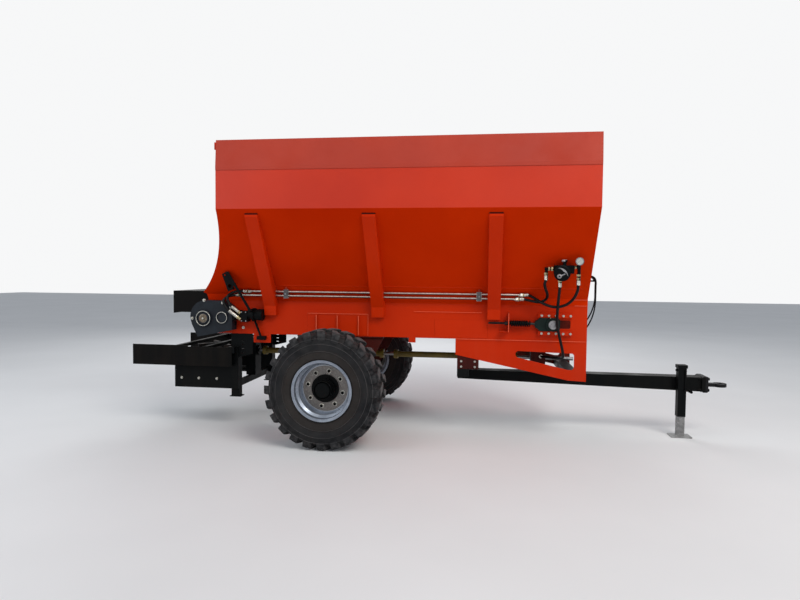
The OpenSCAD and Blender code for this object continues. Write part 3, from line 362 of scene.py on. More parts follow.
def rubber_tyre():
    """Tyre rubber: dusty lug tops, darker grooves, faint mould lines round the sidewall."""
    f = Finish("tyre_rubber", 0.80, spec=0.10)
    away = f.from_axle()
    worn = f.mix(f.cloud(9.0, 6.0, 0.35, 0.7, rough=0.65), rgb(27, 28, 30), rgb(40, 40, 42))
    inner = f.times(f.grey(away, 0.345, 0.315), 0.5)
    worn = f.mix(inner, worn, rgb(52, 46, 42))
    # Wear of the lugs: how far in from the tread it starts and ends, its noise and its tone
    for start, end, scale, levels, tone in (
        (0.010, 0.001, 24.0, (0.3, 0.65, 0.35, 0.95), rgb(104, 103, 104)),
        (0.075, 0.040, 30.0, (0.4, 0.7, 0.0, 0.45), rgb(90, 89, 90))
    ):
        wear = f.times(f.grey(away, TYRE_R - start, TYRE_R - end), f.cloud(scale, 5.0, *levels))
        worn = f.mix(wear, worn, tone)
    for ring_at in (0.326, 0.383, 0.428):
        line = f.times(f.band(away, ring_at, 0.0026), f.cloud(6.0, 4.0, 0.35, 0.6, 0.2, 0.75))
        worn = f.mix(line, worn, rgb(104, 102, 102))
    bead = f.times(f.band(away, RIM_EDGE + 0.006, 0.007), 0.9)
    worn = f.mix(bead, worn, rgb(10, 10, 11))
    dust = f.times(f.cloud(3.2, 6.0, 0.42, 0.72, rough=0.7), 0.30)
    f.colour(f.mix(dust, worn, rgb(72, 69, 66)))
    f.bump(f.noise(150.0, 4.0), 0.15, 0.001)
    return f.mat


def hose_rubber():
    """Rubber hose with its woven cover's faint ribs."""
    f = Finish("hose_rubber", 0.42, spec=0.16)
    f.mottle(rgb(9, 9, 11), rgb(18, 18, 19), 40.0, 4.0, 0.4, 0.7)
    f.bump(f.noise(260.0, 2.0), 0.25, 0.0008)
    return f.mat


def plastic(name, main, shade, rough=0.5):
    """Moulded plastic, slightly faded in patches."""
    f = Finish(name, rough, spec=0.4)
    f.mottle(main, shade, 6.0, 4.0, 0.35, 0.7)
    f.bump(f.noise(90.0, 3.0), 0.1, 0.0006)
    return f.mat


def clear_glass():
    """Clear cover over the gauge."""
    f = Finish("gauge_glass", 0.05)
    f.shader.inputs["Transmission Weight"].default_value = 1.0
    f.shader.inputs["IOR"].default_value = 1.45
    f.mottle((0.95, 0.97, 0.96), (0.92, 0.95, 0.94), 30.0, 4.0, 0.3, 0.7)
    return f.mat


ORANGE_TONES = (rgb(202, 46, 2), rgb(188, 38, 0))
RED_TONES = (rgb(70, 12, 8), rgb(46, 10, 8))
BRACKET_TOP = 0.612
# Depth of the painted shade along the ribs' top ends
RIB_END_SHADE = 0.012
ORANGE = paint("orange_paint", *ORANGE_TONES, coat=0.03)
# Orange with painted shade on the channel's inner faces
PLATE_ORANGE = paint("orange_plate_paint", *ORANGE_TONES, coat=0.03, shade_inside=True)
# Top boards: the orange paint made paler and pinker, a painted reflection of the sky
BOARD_ORANGE = paint("orange_board_paint", rgb(182, 58, 36), rgb(168, 52, 34), rough=0.60, dust=0.10,
                     spec=0.35)
SIDE_ORANGE = paint("orange_side_paint", *ORANGE_TONES, rough=0.40, spec=0.5, gloss_above=KNEE_Z)
# Rib paint with painted shade along the ribs' top ends
RIB_ORANGE = paint("orange_rib_paint", *ORANGE_TONES, coat=0.03, spec=0.06,
                   shade_above=high("ribs").z - RIB_END_SHADE)
# Paler orange of the thin edge strips: a painted highlight where edges catch the light
EDGE_HIGHLIGHT_ORANGE = paint("orange_edge_highlight_paint", rgb(238, 96, 58), rgb(222, 82, 44), rough=0.3, coat=0.3, dust=0.05,
                    spec=0.4)
BLACK = paint("black_paint", rgb(6, 9, 11), rgb(9, 11, 12), dust=0.015, spec=0.07)
DUSTY_BLACK = paint("dusty_black_paint", rgb(7, 9, 9), rgb(14, 12, 12), rough=0.45, dust=0.025, dust_top=1.5,
                    spec=0.06)
DARK_RED = paint("dark_red_paint", *RED_TONES, rough=0.5, dust=0.12, spec=0.12)
BRACKET_RED = paint("bracket_paint", *RED_TONES, rough=0.5, dust=0.08, spec=0.12, black_below=BRACKET_TOP)
CHARCOAL = cast("charcoal_cast", rgb(31, 36, 42), rgb(24, 27, 33), spec=0.15)
FORGED = cast("forged_black", rgb(22, 22, 24), rgb(15, 15, 17), rough=0.55, spec=0.15)
BEARING = cast("bearing_green_black", rgb(18, 36, 32), rgb(13, 25, 23), rough=0.45, spec=0.15)
ZINC = rim_zinc()
LEG_ZINC = galvanised("galvanised", rgb(150, 150, 150), rgb(120, 120, 121))
# Pipe zinc, darker and pinker underneath: painted shade and reflection
PIPE_ZINC = galvanised("pipe_zinc", rgb(216, 208, 200), rgb(190, 180, 172), rough=0.26, spangle=90.0,
                       underside_shade=rgb(96, 66, 62))
STEEL = bare_metal("bare_steel", rgb(168, 168, 170), rgb(126, 126, 130), rust=0.25)
DARK_STEEL = bare_metal("dark_steel", rgb(74, 72, 72), rgb(48, 46, 46), rough=0.5, rust=0.35)
WORN_STEEL = bare_metal("worn_floor_steel", rgb(150, 146, 142), rgb(110, 104, 100), rust=0.45)
BRONZE = bare_metal("bronze", rgb(128, 118, 104), rgb(84, 76, 66), rough=0.5, rust=0.3)
ZINC_BRIGHT = bare_metal("bright_zinc", rgb(206, 204, 196), rgb(170, 168, 160), rough=0.28)
GREY_PLASTIC = plastic("clamp_grey", rgb(96, 98, 102), rgb(74, 76, 78))
WHITE_FACE = plastic("gauge_white", rgb(228, 228, 224), rgb(214, 214, 210), rough=0.6)
BRASS = bare_metal("brass_fitting", rgb(184, 174, 136), rgb(140, 130, 98), rough=0.32)
YELLOW = plastic("guard_yellow", rgb(112, 94, 24), rgb(88, 74, 22))
BOLT_ORANGE = paint("bolt_orange", rgb(176, 44, 16), rgb(128, 36, 18), rough=0.4, coat=0.1, dust=0.2,
                    peel=0.1, spec=0.3)
GLASS = clear_glass()
TYRE = rubber_tyre()
HOSE = hose_rubber()

NODE_FINISH = {
    BLACK: "hydraulic_motor torque_arm drawbar jack_tube axle_beam transfer_case spinner_gearboxes "
           "spinner_frame metering_gate hub_right hub_left flow_valve hose_rack jack_crank",
    DUSTY_BLACK: "side_shields rear_hood hood_sides hood_back",
    PLATE_ORANGE: "channel_right channel_left front_aprons",
    SIDE_ORANGE: "hopper_side_right hopper_side_left",
    RIB_ORANGE: "ribs",
    DARK_RED: "axle_plates oil_pump",
    BRACKET_RED: "drawbar_brackets",
    CHARCOAL: "reducer drive_bearing",
    FORGED: "hitch_eye",
    BEARING: "takeup_bearings",
    ZINC: "rim_right rim_left",
    LEG_ZINC: "jack_leg",
    PIPE_ZINC: "steel_pipes",
    STEEL: "drive_shaft idler_shaft takeup_screws pto_shaft",
    DARK_STEEL: "disc_right disc_left",
    WORN_STEEL: "floor_plate conveyor",
    BOARD_ORANGE: "top_boards",
    YELLOW: "pto_guard",
    ZINC_BRIGHT: "hose_fittings",
    HOSE: "valve_hoses supply_hose return_hose",
    TYRE: "tyre_right tyre_left"
}


def dress(obj, material):
    """One material over the whole object."""
    obj.data.materials.clear()
    obj.data.materials.append(material)


def dress_nodes():
    """Each CAD node gets its finish; what isn't named is orange."""
    named = {node: finish for finish, nodes in NODE_FINISH.items() for node in nodes.split()}
    for name, obj in NODES.items():
        dress(obj, named.get(name, ORANGE))


dress_nodes()

# Mesh helpers

WELD_RIPPLE = 0.007
CREASE = 32
FAR_AWAY = 3.0


def meshes(count):
    """That many empty meshes."""
    return [bmesh.new() for _ in range(count)]


def polar(radius, angle, height=0.0):
    """Point on a circle round Z."""
    return Vector((radius * cos(angle), radius * sin(angle), height))


def circle(steps):
    """Angles of evenly spaced steps round a circle."""
    return [2 * pi * k / steps for k in range(steps)]


def offset(origin, points):
    """Points that are given from an origin."""
    return [tuple(a + b for a, b in zip(origin, point)) for point in points]


def towards(place, axis):
    """Matrix at a place whose Z runs along an axis."""
    z = Vector(axis).normalized()
    side = Vector((0, 0, 1)) if abs(z.z) < 0.95 else Vector((1, 0, 0))
    x = side.cross(z).normalized()
    y = z.cross(x)
    m = Matrix((x, y, z)).transposed().to_4x4()
    m.translation = Vector(place)
    return m


def loft(bm, rings, loop=False):
    """Quads between rings of equal length, with capped ends or as a loop."""
    made = [[bm.verts.new(p) for p in ring] for ring in rings]
    n = len(made[0])
    pairs = list(zip(made, made[1:]))
    if loop:
        pairs.append((made[-1], made[0]))
    for a, b in pairs:
        for k in range(n):
            bm.faces.new((a[k], a[(k + 1) % n], b[(k + 1) % n], b[k]))
    if not loop:
        bm.faces.new(list(reversed(made[0])))
        bm.faces.new(made[-1])


def lathe(bm, profile, matrix, steps=32):
    """Solid turned from (radius, height) points round the matrix's Z."""
    loft(bm, [[matrix @ polar(max(r, 1e-5), a, h) for a in circle(steps)] for r, h in profile])


def ring(bm, r_in, r_out, h0, h1, matrix, steps=48, soft=0.0008):
    """Flat ring with slightly rounded edges."""
    section = [
        (r_in, h0), (r_out - soft, h0), (r_out, h0 + soft), (r_out, h1 - soft), (r_out - soft, h1),
        (r_in + soft, h1), (r_in, h1 - soft)
    ]
    loft(bm, [[matrix @ polar(r, a, h) for r, h in section] for a in circle(steps)], loop=True)


def hexagon(bm, across, h0, h1, matrix, turn=0.0):
    """Hexagonal head with its upper corners eased."""
    r = across / sqrt(3)
    levels = ((1, h0), (1, h1 - 0.12 * across), (0.86, h1), (0.5, h1))
    loft(bm, [[matrix @ polar(r * scale, turn + a, h) for a in circle(6)] for scale, h in levels])


def bolt(bm, place, axis, across=0.019, height=0.009, washer=True, stud=0.0):
    """Hexagon bolt head on its washer, with the end of the stud if asked."""
    m = towards(place, axis)
    base = 0.0
    if washer:
        ring(bm, across * 0.28, across * 0.82, 0.0, 0.0026, m, steps=20)
        base = 0.0026
    hexagon(bm, across, base, base + height, m, turn=random.uniform(0, pi / 3))
    if stud:
        r = across * 0.29
        top = base + height
        lathe(bm, [(r, top - 0.001), (r, top + stud - 0.0015), (r - 0.0015, top + stud)], m, 12)


def sweep(bm, points, radius, sides, loop=False):
    """Tube along points; radius is a number or a function of the point's index."""
    pts = [Vector(p) for p in points]
    n = len(pts)
    normal = None
    rings = []
    for i, p in enumerate(pts):
        if loop:
            t = (pts[(i + 1) % n] - pts[i - 1]).normalized()
        else:
            t = (pts[min(i + 1, n - 1)] - pts[max(i - 1, 0)]).normalized()
        if normal is None:
            normal = t.orthogonal().normalized()
        normal = (normal - t * normal.dot(t)).normalized()
        other = t.cross(normal)
        r = radius(i) if callable(radius) else radius
        rings.append([p + r * (cos(a) * normal + sin(a) * other) for a in circle(sides)])
    loft(bm, rings, loop)


def weld_bead(bm, a, b, radius):
    """Rippled weld bead between two points."""
    a, b = Vector(a), Vector(b)
    n = max(3, int((b - a).length / WELD_RIPPLE))
    path = [a.lerp(b, k / n) for k in range(n + 1)]
    sweep(bm, path, lambda i: radius * (0.86 + 0.14 * (i % 2) + random.uniform(-0.08, 0.08)), sides=6)


def plate(bm, outline, thick):
    """Flat plate that faces right: its outline and its thickness."""
    loft(bm, [outline, [p - Vector((0, thick, 0)) for p in outline]])


def rounded_bar(bm, low_corner, high_corner, soft=0.002):
    """Bar between two corners with eased long edges along Y."""
    x0, y0, z0 = low_corner
    x1, y1, z1 = high_corner
    section = [
        (x0 + soft, z0), (x1 - soft, z0), (x1, z0 + soft), (x1, z1 - soft), (x1 - soft, z1), (x0 + soft, z1),
        (x0, z1 - soft), (x0, z0 + soft)
    ]
    loft(bm, [[Vector((x, y, z)) for x, z in section] for y in (y0, y1)])


def piece(name, bm, material, body="frame", smooth=38):
    """Object made from a bmesh, riding on a body."""
    bmesh.ops.recalc_face_normals(bm, faces=bm.faces[:])
    mesh = bpy.data.meshes.new(name)
    bm.to_mesh(mesh)
    bm.free()
    for face in mesh.polygons:
        face.use_smooth = True
    mesh.set_sharp_from_angle(angle=radians(smooth))
    obj = add_object(name, mesh)
    dress(obj, material)
    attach(obj, body)
    return obj


def smooth_route(points, steps=6):
    """Points on the smooth curve through a route."""
    p = [Vector(v) for v in points]
    out = []
    for i in range(len(p) - 1):
        a, b, c, d = p[max(i - 1, 0)], p[i], p[i + 1], p[min(i + 2, len(p) - 1)]
        for k in range(steps):
            u = k / steps
            out.append(0.5 * (2 * b + (c - a) * u + (2 * a - 5 * b + 4 * c - d) * u * u
                              + (3 * b - a - 3 * c + d) * u * u * u))
    out.append(p[-1])
    return out


# Plates without holes, whose big flat faces are shaded as one
UNBROKEN = ("top_boards", "hopper_side_right", "hopper_side_left")


def soften(names, width):
    """Eased edges on CAD nodes, as modifiers."""
    for name in names.split():
        obj = NODES[name]
        weld = obj.modifiers.new("weld", "WELD")
        weld.merge_threshold = 0.00005
        if name in UNBROKEN:
            flat = obj.modifiers.new("flat", "DECIMATE")
            flat.decimate_type = "DISSOLVE"
            flat.angle_limit = radians(0.3)
        bevel = obj.modifiers.new("bevel", "BEVEL")
        bevel.width = width
        bevel.segments = 2
        bevel.limit_method = "ANGLE"
        bevel.angle_limit = radians(CREASE)
        bevel.harden_normals = True


# Places of the hydraulics

RIGHTWARD = (0, -1, 0)
PIPE_Y = -(CHANNEL_HALF + 0.050)
PIPE_Z = (1.277, 1.240)
PIPE_X0 = (0.088, 0.004)
PIPE_X1 = (2.543, 2.505)
HOSE_R = 0.012
VALVE_X = centre("flow_valve").x
VALVE_Z = 1.498
VALVE_Y = high("flow_valve").y - 0.014
MOTOR_Y = low("reducer").y + 0.074
MOTOR_Z = IDLER.z + 0.038
PUMP_X = HOP_F - 0.360
PTO_Z = 0.665


def face_y(node, x, z, side):
    """Outermost y of a CAD node's surface at x and z, seen from one side, or None."""
    hit, place, _, _ = NODES[node].ray_cast(Vector((x, side * FAR_AWAY, z)), Vector((0, -side, 0)))
    return place.y if hit else None


def bolt_on(bm, nodes, x, z, side, **values):
    """Bolt head on the outermost of some CAD nodes' surfaces."""
    found = [y for y in (face_y(node, x, z, side) for node in nodes) if y is not None]
    if found:
        y = min(found) if side < 0 else max(found)
        bolt(bm, (x, y, z), (0, side, 0), **values)


# Hoses to the tractor: free cords between the pump and the couplers on the rack

FRONT_R = 0.006
SADDLE = (HOP_F + 0.024, 1.397)
SADDLE_R = 0.050
SHELF_Z = 1.300
SLEEVE_TOP = SHELF_Z + 0.0403
STRAIGHT_END = 1.368
RACK_X = HOP_F - 0.026


def over_saddle(y):
    """Points of a hose round the rack's saddle and down into the shelf."""
    x, z = SADDLE
    arc = [(x + SADDLE_R * cos(radians(a)), y, z + SADDLE_R * sin(radians(a))) for a in range(0, 181, 30)]
    return arc + [(RACK_X, y, STRAIGHT_END), (RACK_X, y, SLEEVE_TOP)]


PUMP = (PUMP_X, 0, PTO_Z)
HOPPER_FRONT = (HOP_F, 0, 0)
SUPPLY_ROUTE = (
    offset(PUMP, [
        (0.020, 0.0623, 0.026), (0.020, 0.080, 0.026), (0.021, 0.100, 0.026), (0.032, 0.128, 0.031),
        (0.062, 0.146, 0.046), (0.104, 0.140, 0.068), (0.150, 0.108, 0.095)
    ])
    + offset(HOPPER_FRONT, [
        (-0.150, 0.040, 0.792), (-0.095, -0.060, 0.832), (-0.055, -0.160, 0.876), (-0.022, -0.262, 0.925),
        (0.008, -0.345, 0.978), (0.036, -0.405, 1.045), (0.058, -0.432, 1.120), (0.071, -0.437, 1.200),
        (0.074, -0.437, 1.290), (0.074, -0.437, 1.360)
    ])
    + over_saddle(-0.437)
)
RETURN_ROUTE = (
    offset(PUMP, [
        (-0.020, 0.0623, 0.050), (-0.020, 0.082, 0.050), (-0.018, 0.104, 0.050), (-0.008, 0.134, 0.057),
        (0.024, 0.158, 0.075), (0.070, 0.160, 0.099), (0.118, 0.132, 0.127), (0.168, 0.084, 0.155)
    ])
    + offset(HOPPER_FRONT, [
        (-0.145, 0.014, 0.852), (-0.105, -0.070, 0.888), (-0.068, -0.160, 0.928), (-0.034, -0.245, 0.972),
        (-0.002, -0.318, 1.022), (0.030, -0.370, 1.085), (0.056, -0.394, 1.155), (0.072, -0.399, 1.230),
        (0.074, -0.399, 1.310), (0.074, -0.399, 1.360)
    ])
    + over_saddle(-0.399)
)


def crimp(bm, place, axis, radius, length=0.040):
    """Swaged sleeve over a hose end, with its grooves."""
    profile = [(radius * 1.02, 0.0)]
    for k in range(4):
        a = length * (k + 0.2) / 4.4
        profile += [(radius * 1.32, a), (radius * 1.36, a + 0.002), (radius * 1.36, a + 0.006),
                    (radius * 1.18, a + 0.0075)]
    profile += [(radius * 1.30, length), (radius * 0.9, length + 0.001)]
    lathe(bm, profile, towards(place, axis), 20)


def make_cord(name, node, route):
    """Rubber hose as one smooth curve with its two end sleeves."""
    data = bpy.data.curves.new(name, "CURVE")
    data.dimensions = "3D"
    data.bevel_depth = FRONT_R
    data.bevel_resolution = 5
    data.resolution_u = 8
    data.use_fill_caps = True
    spline = data.splines.new("BEZIER")
    spline.bezier_points.add(len(route) - 1)
    for point, place in zip(spline.bezier_points, route):
        point.co = place
        point.handle_left_type = point.handle_right_type = "AUTO"
    obj = add_object(name, data)
    dress(obj, HOSE)
    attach(obj, "frame")
    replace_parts(obj, node)
    ends = bmesh.new()
    crimp(ends, route[0], (0, 1, 0), FRONT_R)
    crimp(ends, route[-1], (0, 0, 1), FRONT_R)
    sleeves = piece(name + "_sleeves", ends, ZINC_BRIGHT)


make_cord("supply_hose_rubber", "supply_hose", SUPPLY_ROUTE)
make_cord("return_hose_rubber", "return_hose", RETURN_ROUTE)

PLATES = (
    "hopper_side_right hopper_side_left top_boards front_wall rear_wall ribs channel_right channel_left "
    "front_aprons takeup_guides drawbar_brackets jack_tube jack_leg side_shields rear_hood hood_sides "
    "hood_back spinner_frame hose_rack torque_arm axle_plates axle_beam transfer_case"
)
CASTINGS = (
    "takeup_bearings reducer drive_bearing hydraulic_motor hitch_eye flow_valve oil_pump drawbar "
    "spinner_gearboxes"
)
soften(PLATES, 0.0018)
soften(CASTINGS, 0.0035)

# Wheels

LUGS = 24
TYRE_HALF = (high("tyre_right").y - low("tyre_right").y) / 2
STUDS = 8
STUD_R = 0.150
STUD_TURN = 33
HUB_SCREWS = 6
HUB_SCREW_R = 0.096
HUB_SCREW_TURN = 10
VALVE_STEM_R = 0.226
DISC_W = 0.012
CAP_END = -low("hub_right").y - TRACK_HALF


def wheel_frame(side):
    """Matrix of a wheel: Z points outwards from the machine."""
    return towards((AXLE.x, side * TRACK_HALF, AXLE.z), (0, side, 0))


def tyre_profile():
    """Outer skin from bead to bead as (radius, across), with the sidewall's mould rings."""
    r, w = TYRE_R, TYRE_HALF - 0.004
    bead = RIM_EDGE - 0.014
    half = [
        (bead, w - 0.030), (RIM_EDGE + 0.0015, w - 0.027), (RIM_EDGE + 0.004, w - 0.014),
        (RIM_EDGE + 0.010, w - 0.006), (RIM_EDGE + 0.013, w - 0.010), (RIM_EDGE + 0.028, w - 0.007),
        (0.323, w - 0.004), (0.326, w + 0.0015), (0.329, w - 0.004), (0.352, w - 0.001),
        (0.380, w + 0.0005), (0.383, w + 0.0040), (0.386, w - 0.0005), (0.402, w - 0.0025),
        (0.425, w - 0.0065), (0.428, w - 0.0020), (0.431, w - 0.0075),
        (r - 0.056, w - 0.016), (r - 0.038, w - 0.036), (r - 0.030, w - 0.060), (r - 0.026, w - 0.100)
    ]
    inner = [(a, -b) for a, b in reversed(half)]
    return half + [(r - 0.0250, 0.0)] + inner


def add_lug(bm, m, angle, s):
    """One bar of the tread, from the sidewall over the shoulder to near the middle, leaning back."""
    r, w = TYRE_R, TYRE_HALF
    # across, top radius, foot radius, half of the width at the foot, half at the top, lean in degrees
    stations = [
        (w - 0.004, r - 0.072, r - 0.084, 0.022, 0.018, -1.6),
        (w - 0.0005, r - 0.054, r - 0.086, 0.031, 0.027, -1.0),
        (w - 0.003, r - 0.030, r - 0.074, 0.036, 0.032, -0.3),
        (w - 0.014, r - 0.010, r - 0.060, 0.037, 0.033, 0.2),
        (w - 0.046, r - 0.001, r - 0.044, 0.035, 0.031, 1.4),
        (w - 0.080, r, r - 0.034, 0.031, 0.026, 3.2),
        (0.034, r - 0.001, r - 0.030, 0.026, 0.021, 5.4),
        (0.012, r - 0.003, r - 0.030, 0.020, 0.015, 6.4)
    ]
    rings = []
    for across, top, foot, wide, narrow, lean in stations:
        turn = angle + radians(lean)
        section = [(foot, -wide), (top - 0.004, -narrow - 0.002), (top, -narrow + 0.002),
                   (top, narrow - 0.002), (top - 0.004, narrow + 0.002), (foot, wide)]
        rings.append([m @ polar(radius, turn + along / r, s * across) for radius, along in section])
    loft(bm, rings)


def make_tyre(side, name):
    """Tyre with its carcass, shoulder lugs and sidewall rings."""
    m = wheel_frame(side)
    bm = bmesh.new()
    profile = tyre_profile()
    loft(bm, [[m @ polar(r, a, w) for r, w in profile] for a in circle(4 * LUGS)], loop=True)
    for k, s in product(range(LUGS), (1, -1)):
        add_lug(bm, m, 2 * pi * (k + (0 if s > 0 else 0.5)) / LUGS, s)
    obj = piece("tyre_" + name + "_tread", bm, TYRE, "wheel_" + name, smooth=34)
    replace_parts(obj, "tyre_" + name)


def make_wheel_trim(side, name):
    """Washers, nuts, cap screws and the valve on one wheel."""
    m = wheel_frame(side)
    out = (0, side, 0)
    body = "wheel_" + name
    bright, dark, valve = meshes(3)
    for a in circle(STUDS):
        seat = towards(m @ polar(STUD_R, a - side * radians(STUD_TURN), DISC_W), out)
        ring(bright, 0.0088, 0.0205, 0.0, 0.0032, seat, steps=28)
        ring(bright, 0.0088, 0.0160, 0.0032, 0.0125, seat, steps=28, soft=0.002)
        lathe(dark, [(0.0082, 0.0), (0.0082, 0.0235), (0.006, 0.0255)], seat, 16)
    for a in circle(HUB_SCREWS):
        place = m @ polar(HUB_SCREW_R, a + radians(HUB_SCREW_TURN), DISC_W + 0.015)
        bolt(dark, place, out, across=0.013, height=0.006)
    # Cap's rolled edge
    cap = m @ Matrix.Translation((0, 0, CAP_END))
    ring(dark, 0.060, 0.0715, -0.004, 0.0, cap, steps=48, soft=0.0015)
    ring(dark, 0.0700, 0.0745, -0.090, -0.082, cap, steps=48, soft=0.002)
    foot = m @ polar(VALVE_STEM_R, radians(-82 if side < 0 else 262), 0.030)
    lathe(valve, [(0.008, 0.0), (0.007, 0.012), (0.004, 0.016), (0.004, 0.036), (0.0052, 0.037),
                  (0.0052, 0.048), (0.004, 0.050)], towards(foot, out), 16)
    piece(body + "_washers", bright, ZINC_BRIGHT, body)
    piece(body + "_hub_screws", dark, BLACK, body)
    piece(body + "_valve", valve, BRASS, body)


for wheel_side, wheel_name in ((-1, "right"), (1, "left")):
    make_tyre(wheel_side, wheel_name)
    make_wheel_trim(wheel_side, wheel_name)

# Floor conveyor

CHAIN_Y = 0.330
CONV_R = (high("conveyor").z - low("conveyor").z) / 2 - 0.009
SPAN = IDLER.x - DRIVE.x
SLATS = 24
CHAIN_PITCH = 0.040
WIRE_R = 0.0042
LINK_R = 0.0085


def loop_point(s):
    """Place and direction on the chain's loop at length s."""
    bend = pi * CONV_R
    s = s % (2 * SPAN + 2 * bend)
    if s < SPAN:
        return Vector((DRIVE.x + s, 0, DRIVE.z + CONV_R)), Vector((1, 0, 0))
    s -= SPAN
    if s < bend:
        x, a = IDLER.x, s / CONV_R
    elif s - bend < SPAN:
        return Vector((IDLER.x - (s - bend), 0, DRIVE.z - CONV_R)), Vector((-1, 0, 0))
    else:
        x, a = DRIVE.x, pi + (s - bend - SPAN) / CONV_R
    return Vector((x + CONV_R * sin(a), 0, DRIVE.z + CONV_R * cos(a))), Vector((cos(a), 0, -sin(a)))


def make_conveyor():
    """Round-link chains with slats bolted across them."""
    total = 2 * SPAN + 2 * pi * CONV_R
    count = 2 * round(total / CHAIN_PITCH / 2)
    reach = total / count / 2 + WIRE_R * 0.4 - LINK_R
    chains, slats = meshes(2)
    for s, k in product(SIDES, range(count)):
        place, ahead = loop_point((k + 0.5) * total / count)
        place += Vector((0, s * CHAIN_Y, 0))
        side = Vector((0, 1, 0)) if k % 2 else ahead.cross(Vector((0, 1, 0)))
        path = []
        for a in circle(12):
            shift = 0 if abs(cos(a)) < 0.1 else reach if cos(a) > 0 else -reach
            path.append(place + ahead * (shift + LINK_R * cos(a)) + side * LINK_R * sin(a))
        sweep(chains, path, WIRE_R, sides=6, loop=True)
    y = CHANNEL_IN - 0.030
    # Base and two flanges of a slat: from x, to x, from z, to z
    section = (
        (-0.020, 0.020, -0.009, -0.003), (-0.020, -0.014, -0.004, 0.009), (0.014, 0.020, -0.004, 0.009)
    )
    for k, up in product(range(SLATS), (1, -1)):
        x, z = DRIVE.x + (k + 0.5) * SPAN / SLATS, DRIVE.z + up * CONV_R
        for x0, x1, z0, z1 in section:
            rounded_bar(slats, (x + x0, -y, z + z0), (x + x1, y, z + z1))
        for s, off in product(SIDES, (-0.022, 0.022)):
            bolt(slats, (x, s * CHAIN_Y + off, z - 0.003), (0, 0, 1), across=0.013, height=0.007)
    for name, bm in (("conveyor_chains", chains), ("conveyor_slats", slats)):
        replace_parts(piece(name, bm, WORN_STEEL), "conveyor")


make_conveyor()

# Chain tensioners

SCREW_Y = CHANNEL_HALF + 0.035
SCREW_Z = IDLER.z + 0.006
STOP_X = IDLER.x - 0.372
SCREW_R = 0.011
THREAD_PITCH = 0.0035
COIL_TURNS = 8
COIL_STEPS = 160


def make_tensioner(side, rod, nuts, spring):
    """Threaded rod, nuts, spring and its seats on one side."""
    y = side * SCREW_Y

    def ahead_from(x):
        return towards((x, y, SCREW_Z), (1, 0, 0))

    start = IDLER.x - 0.548
    root = SCREW_R - 0.0018
    thread = [(root, 0.0)]
    for k in range(int(0.165 / THREAD_PITCH)):
        thread += [(SCREW_R, (k + 0.25) * THREAD_PITCH + 0.001), (root, (k + 0.75) * THREAD_PITCH + 0.001)]
    thread += [(SCREW_R, 0.168), (SCREW_R, IDLER.x - 0.1523 - start)]
    lathe(rod, thread, ahead_from(start), 16)
    for x0, x1 in ((0.001, 0.016), (0.017, 0.028)):
        hexagon(nuts, 0.033, 0.0, x1 - x0, ahead_from(STOP_X - 0.006 - x1), turn=x0 * 30)
    ring(spring, SCREW_R, 0.024, 0.0, 0.006, ahead_from(STOP_X), steps=32, soft=0.002)
    ring(spring, SCREW_R, 0.027, 0.0, 0.008, ahead_from(STOP_X + 0.174), steps=32, soft=0.002)
    coil = []
    for k in range(COIL_STEPS + 1):
        a = 2 * pi * COIL_TURNS * k / COIL_STEPS
        coil.append((STOP_X + 0.014 + 0.152 * k / COIL_STEPS, y + 0.0200 * cos(a), SCREW_Z + 0.0200 * sin(a)))
    sweep(spring, coil, 0.0076, sides=8)
    ring(spring, SCREW_R, 0.0135, 0.006, 0.170, ahead_from(STOP_X), steps=24)


def make_tensioners():
    """Both sides' rods, nuts and springs, in place of the plain screws."""
    rods, nuts, springs = meshes(3)
    for side in SIDES:
        make_tensioner(side, rods, nuts, springs)
    for name, bm, finish in (
        ("rods", rods, DARK_STEEL), ("nuts", nuts, DARK_STEEL), ("springs", springs, BLACK)
    ):
        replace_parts(piece("tensioner_" + name, bm, finish), "takeup_screws")


make_tensioners()


def make_idler_ends():
    """Grooved retainer discs on the idler shaft, grease nipples and bolts of the guides."""
    ends, brass, bolts = meshes(3)
    for s in SIDES:
        out = (0, s, 0)
        m = towards((IDLER.x, s * (CHANNEL_HALF + 0.0743), IDLER.z), out)
        ring(ends, 0.0205, 0.0375, 0.0, 0.003, m, steps=40)
        for a in circle(8):
            lathe(ends, [(0.003, 0.0), (0.003, 0.002), (0.002, 0.003)],
                  towards(m @ polar(0.029, a, 0.003), out), 8)
        nipple = towards((IDLER.x - 0.02, s * (CHANNEL_HALF + 0.046), IDLER.z + 0.050), (-0.3, s * 0.5, 1))
        lathe(brass, [(0.005, 0), (0.005, 0.006), (0.003, 0.009), (0.004, 0.012), (0.002, 0.015)], nipple, 10)
        for level, k in product((-0.077, 0.077), range(5)):
            place = (IDLER.x - 0.093 + k * 0.0605, s * (CHANNEL_HALF + 0.034), IDLER.z + level)
            bolt(bolts, place, out, across=0.013, height=0.006)
    piece("idler_end_discs", ends, STEEL)
    piece("grease_nipples", brass, BRASS)
    piece("guide_bolts", bolts, ZINC_BRIGHT)


make_idler_ends()

# Hoses held between two fittings each


def motor_fittings():
    """Start and end of the two fittings on the motor."""
    a = AXLE.x
    return (
        ((a - 0.950, MOTOR_Y - 0.062, DRIVE.z + 0.092), (a - 0.902, MOTOR_Y - 0.0433, MOTOR_Z + 0.012)),
        ((a - 0.972, MOTOR_Y - 0.066, DRIVE.z + 0.054), (a - 0.900, MOTOR_Y - 0.0433, MOTOR_Z - 0.046))
    )


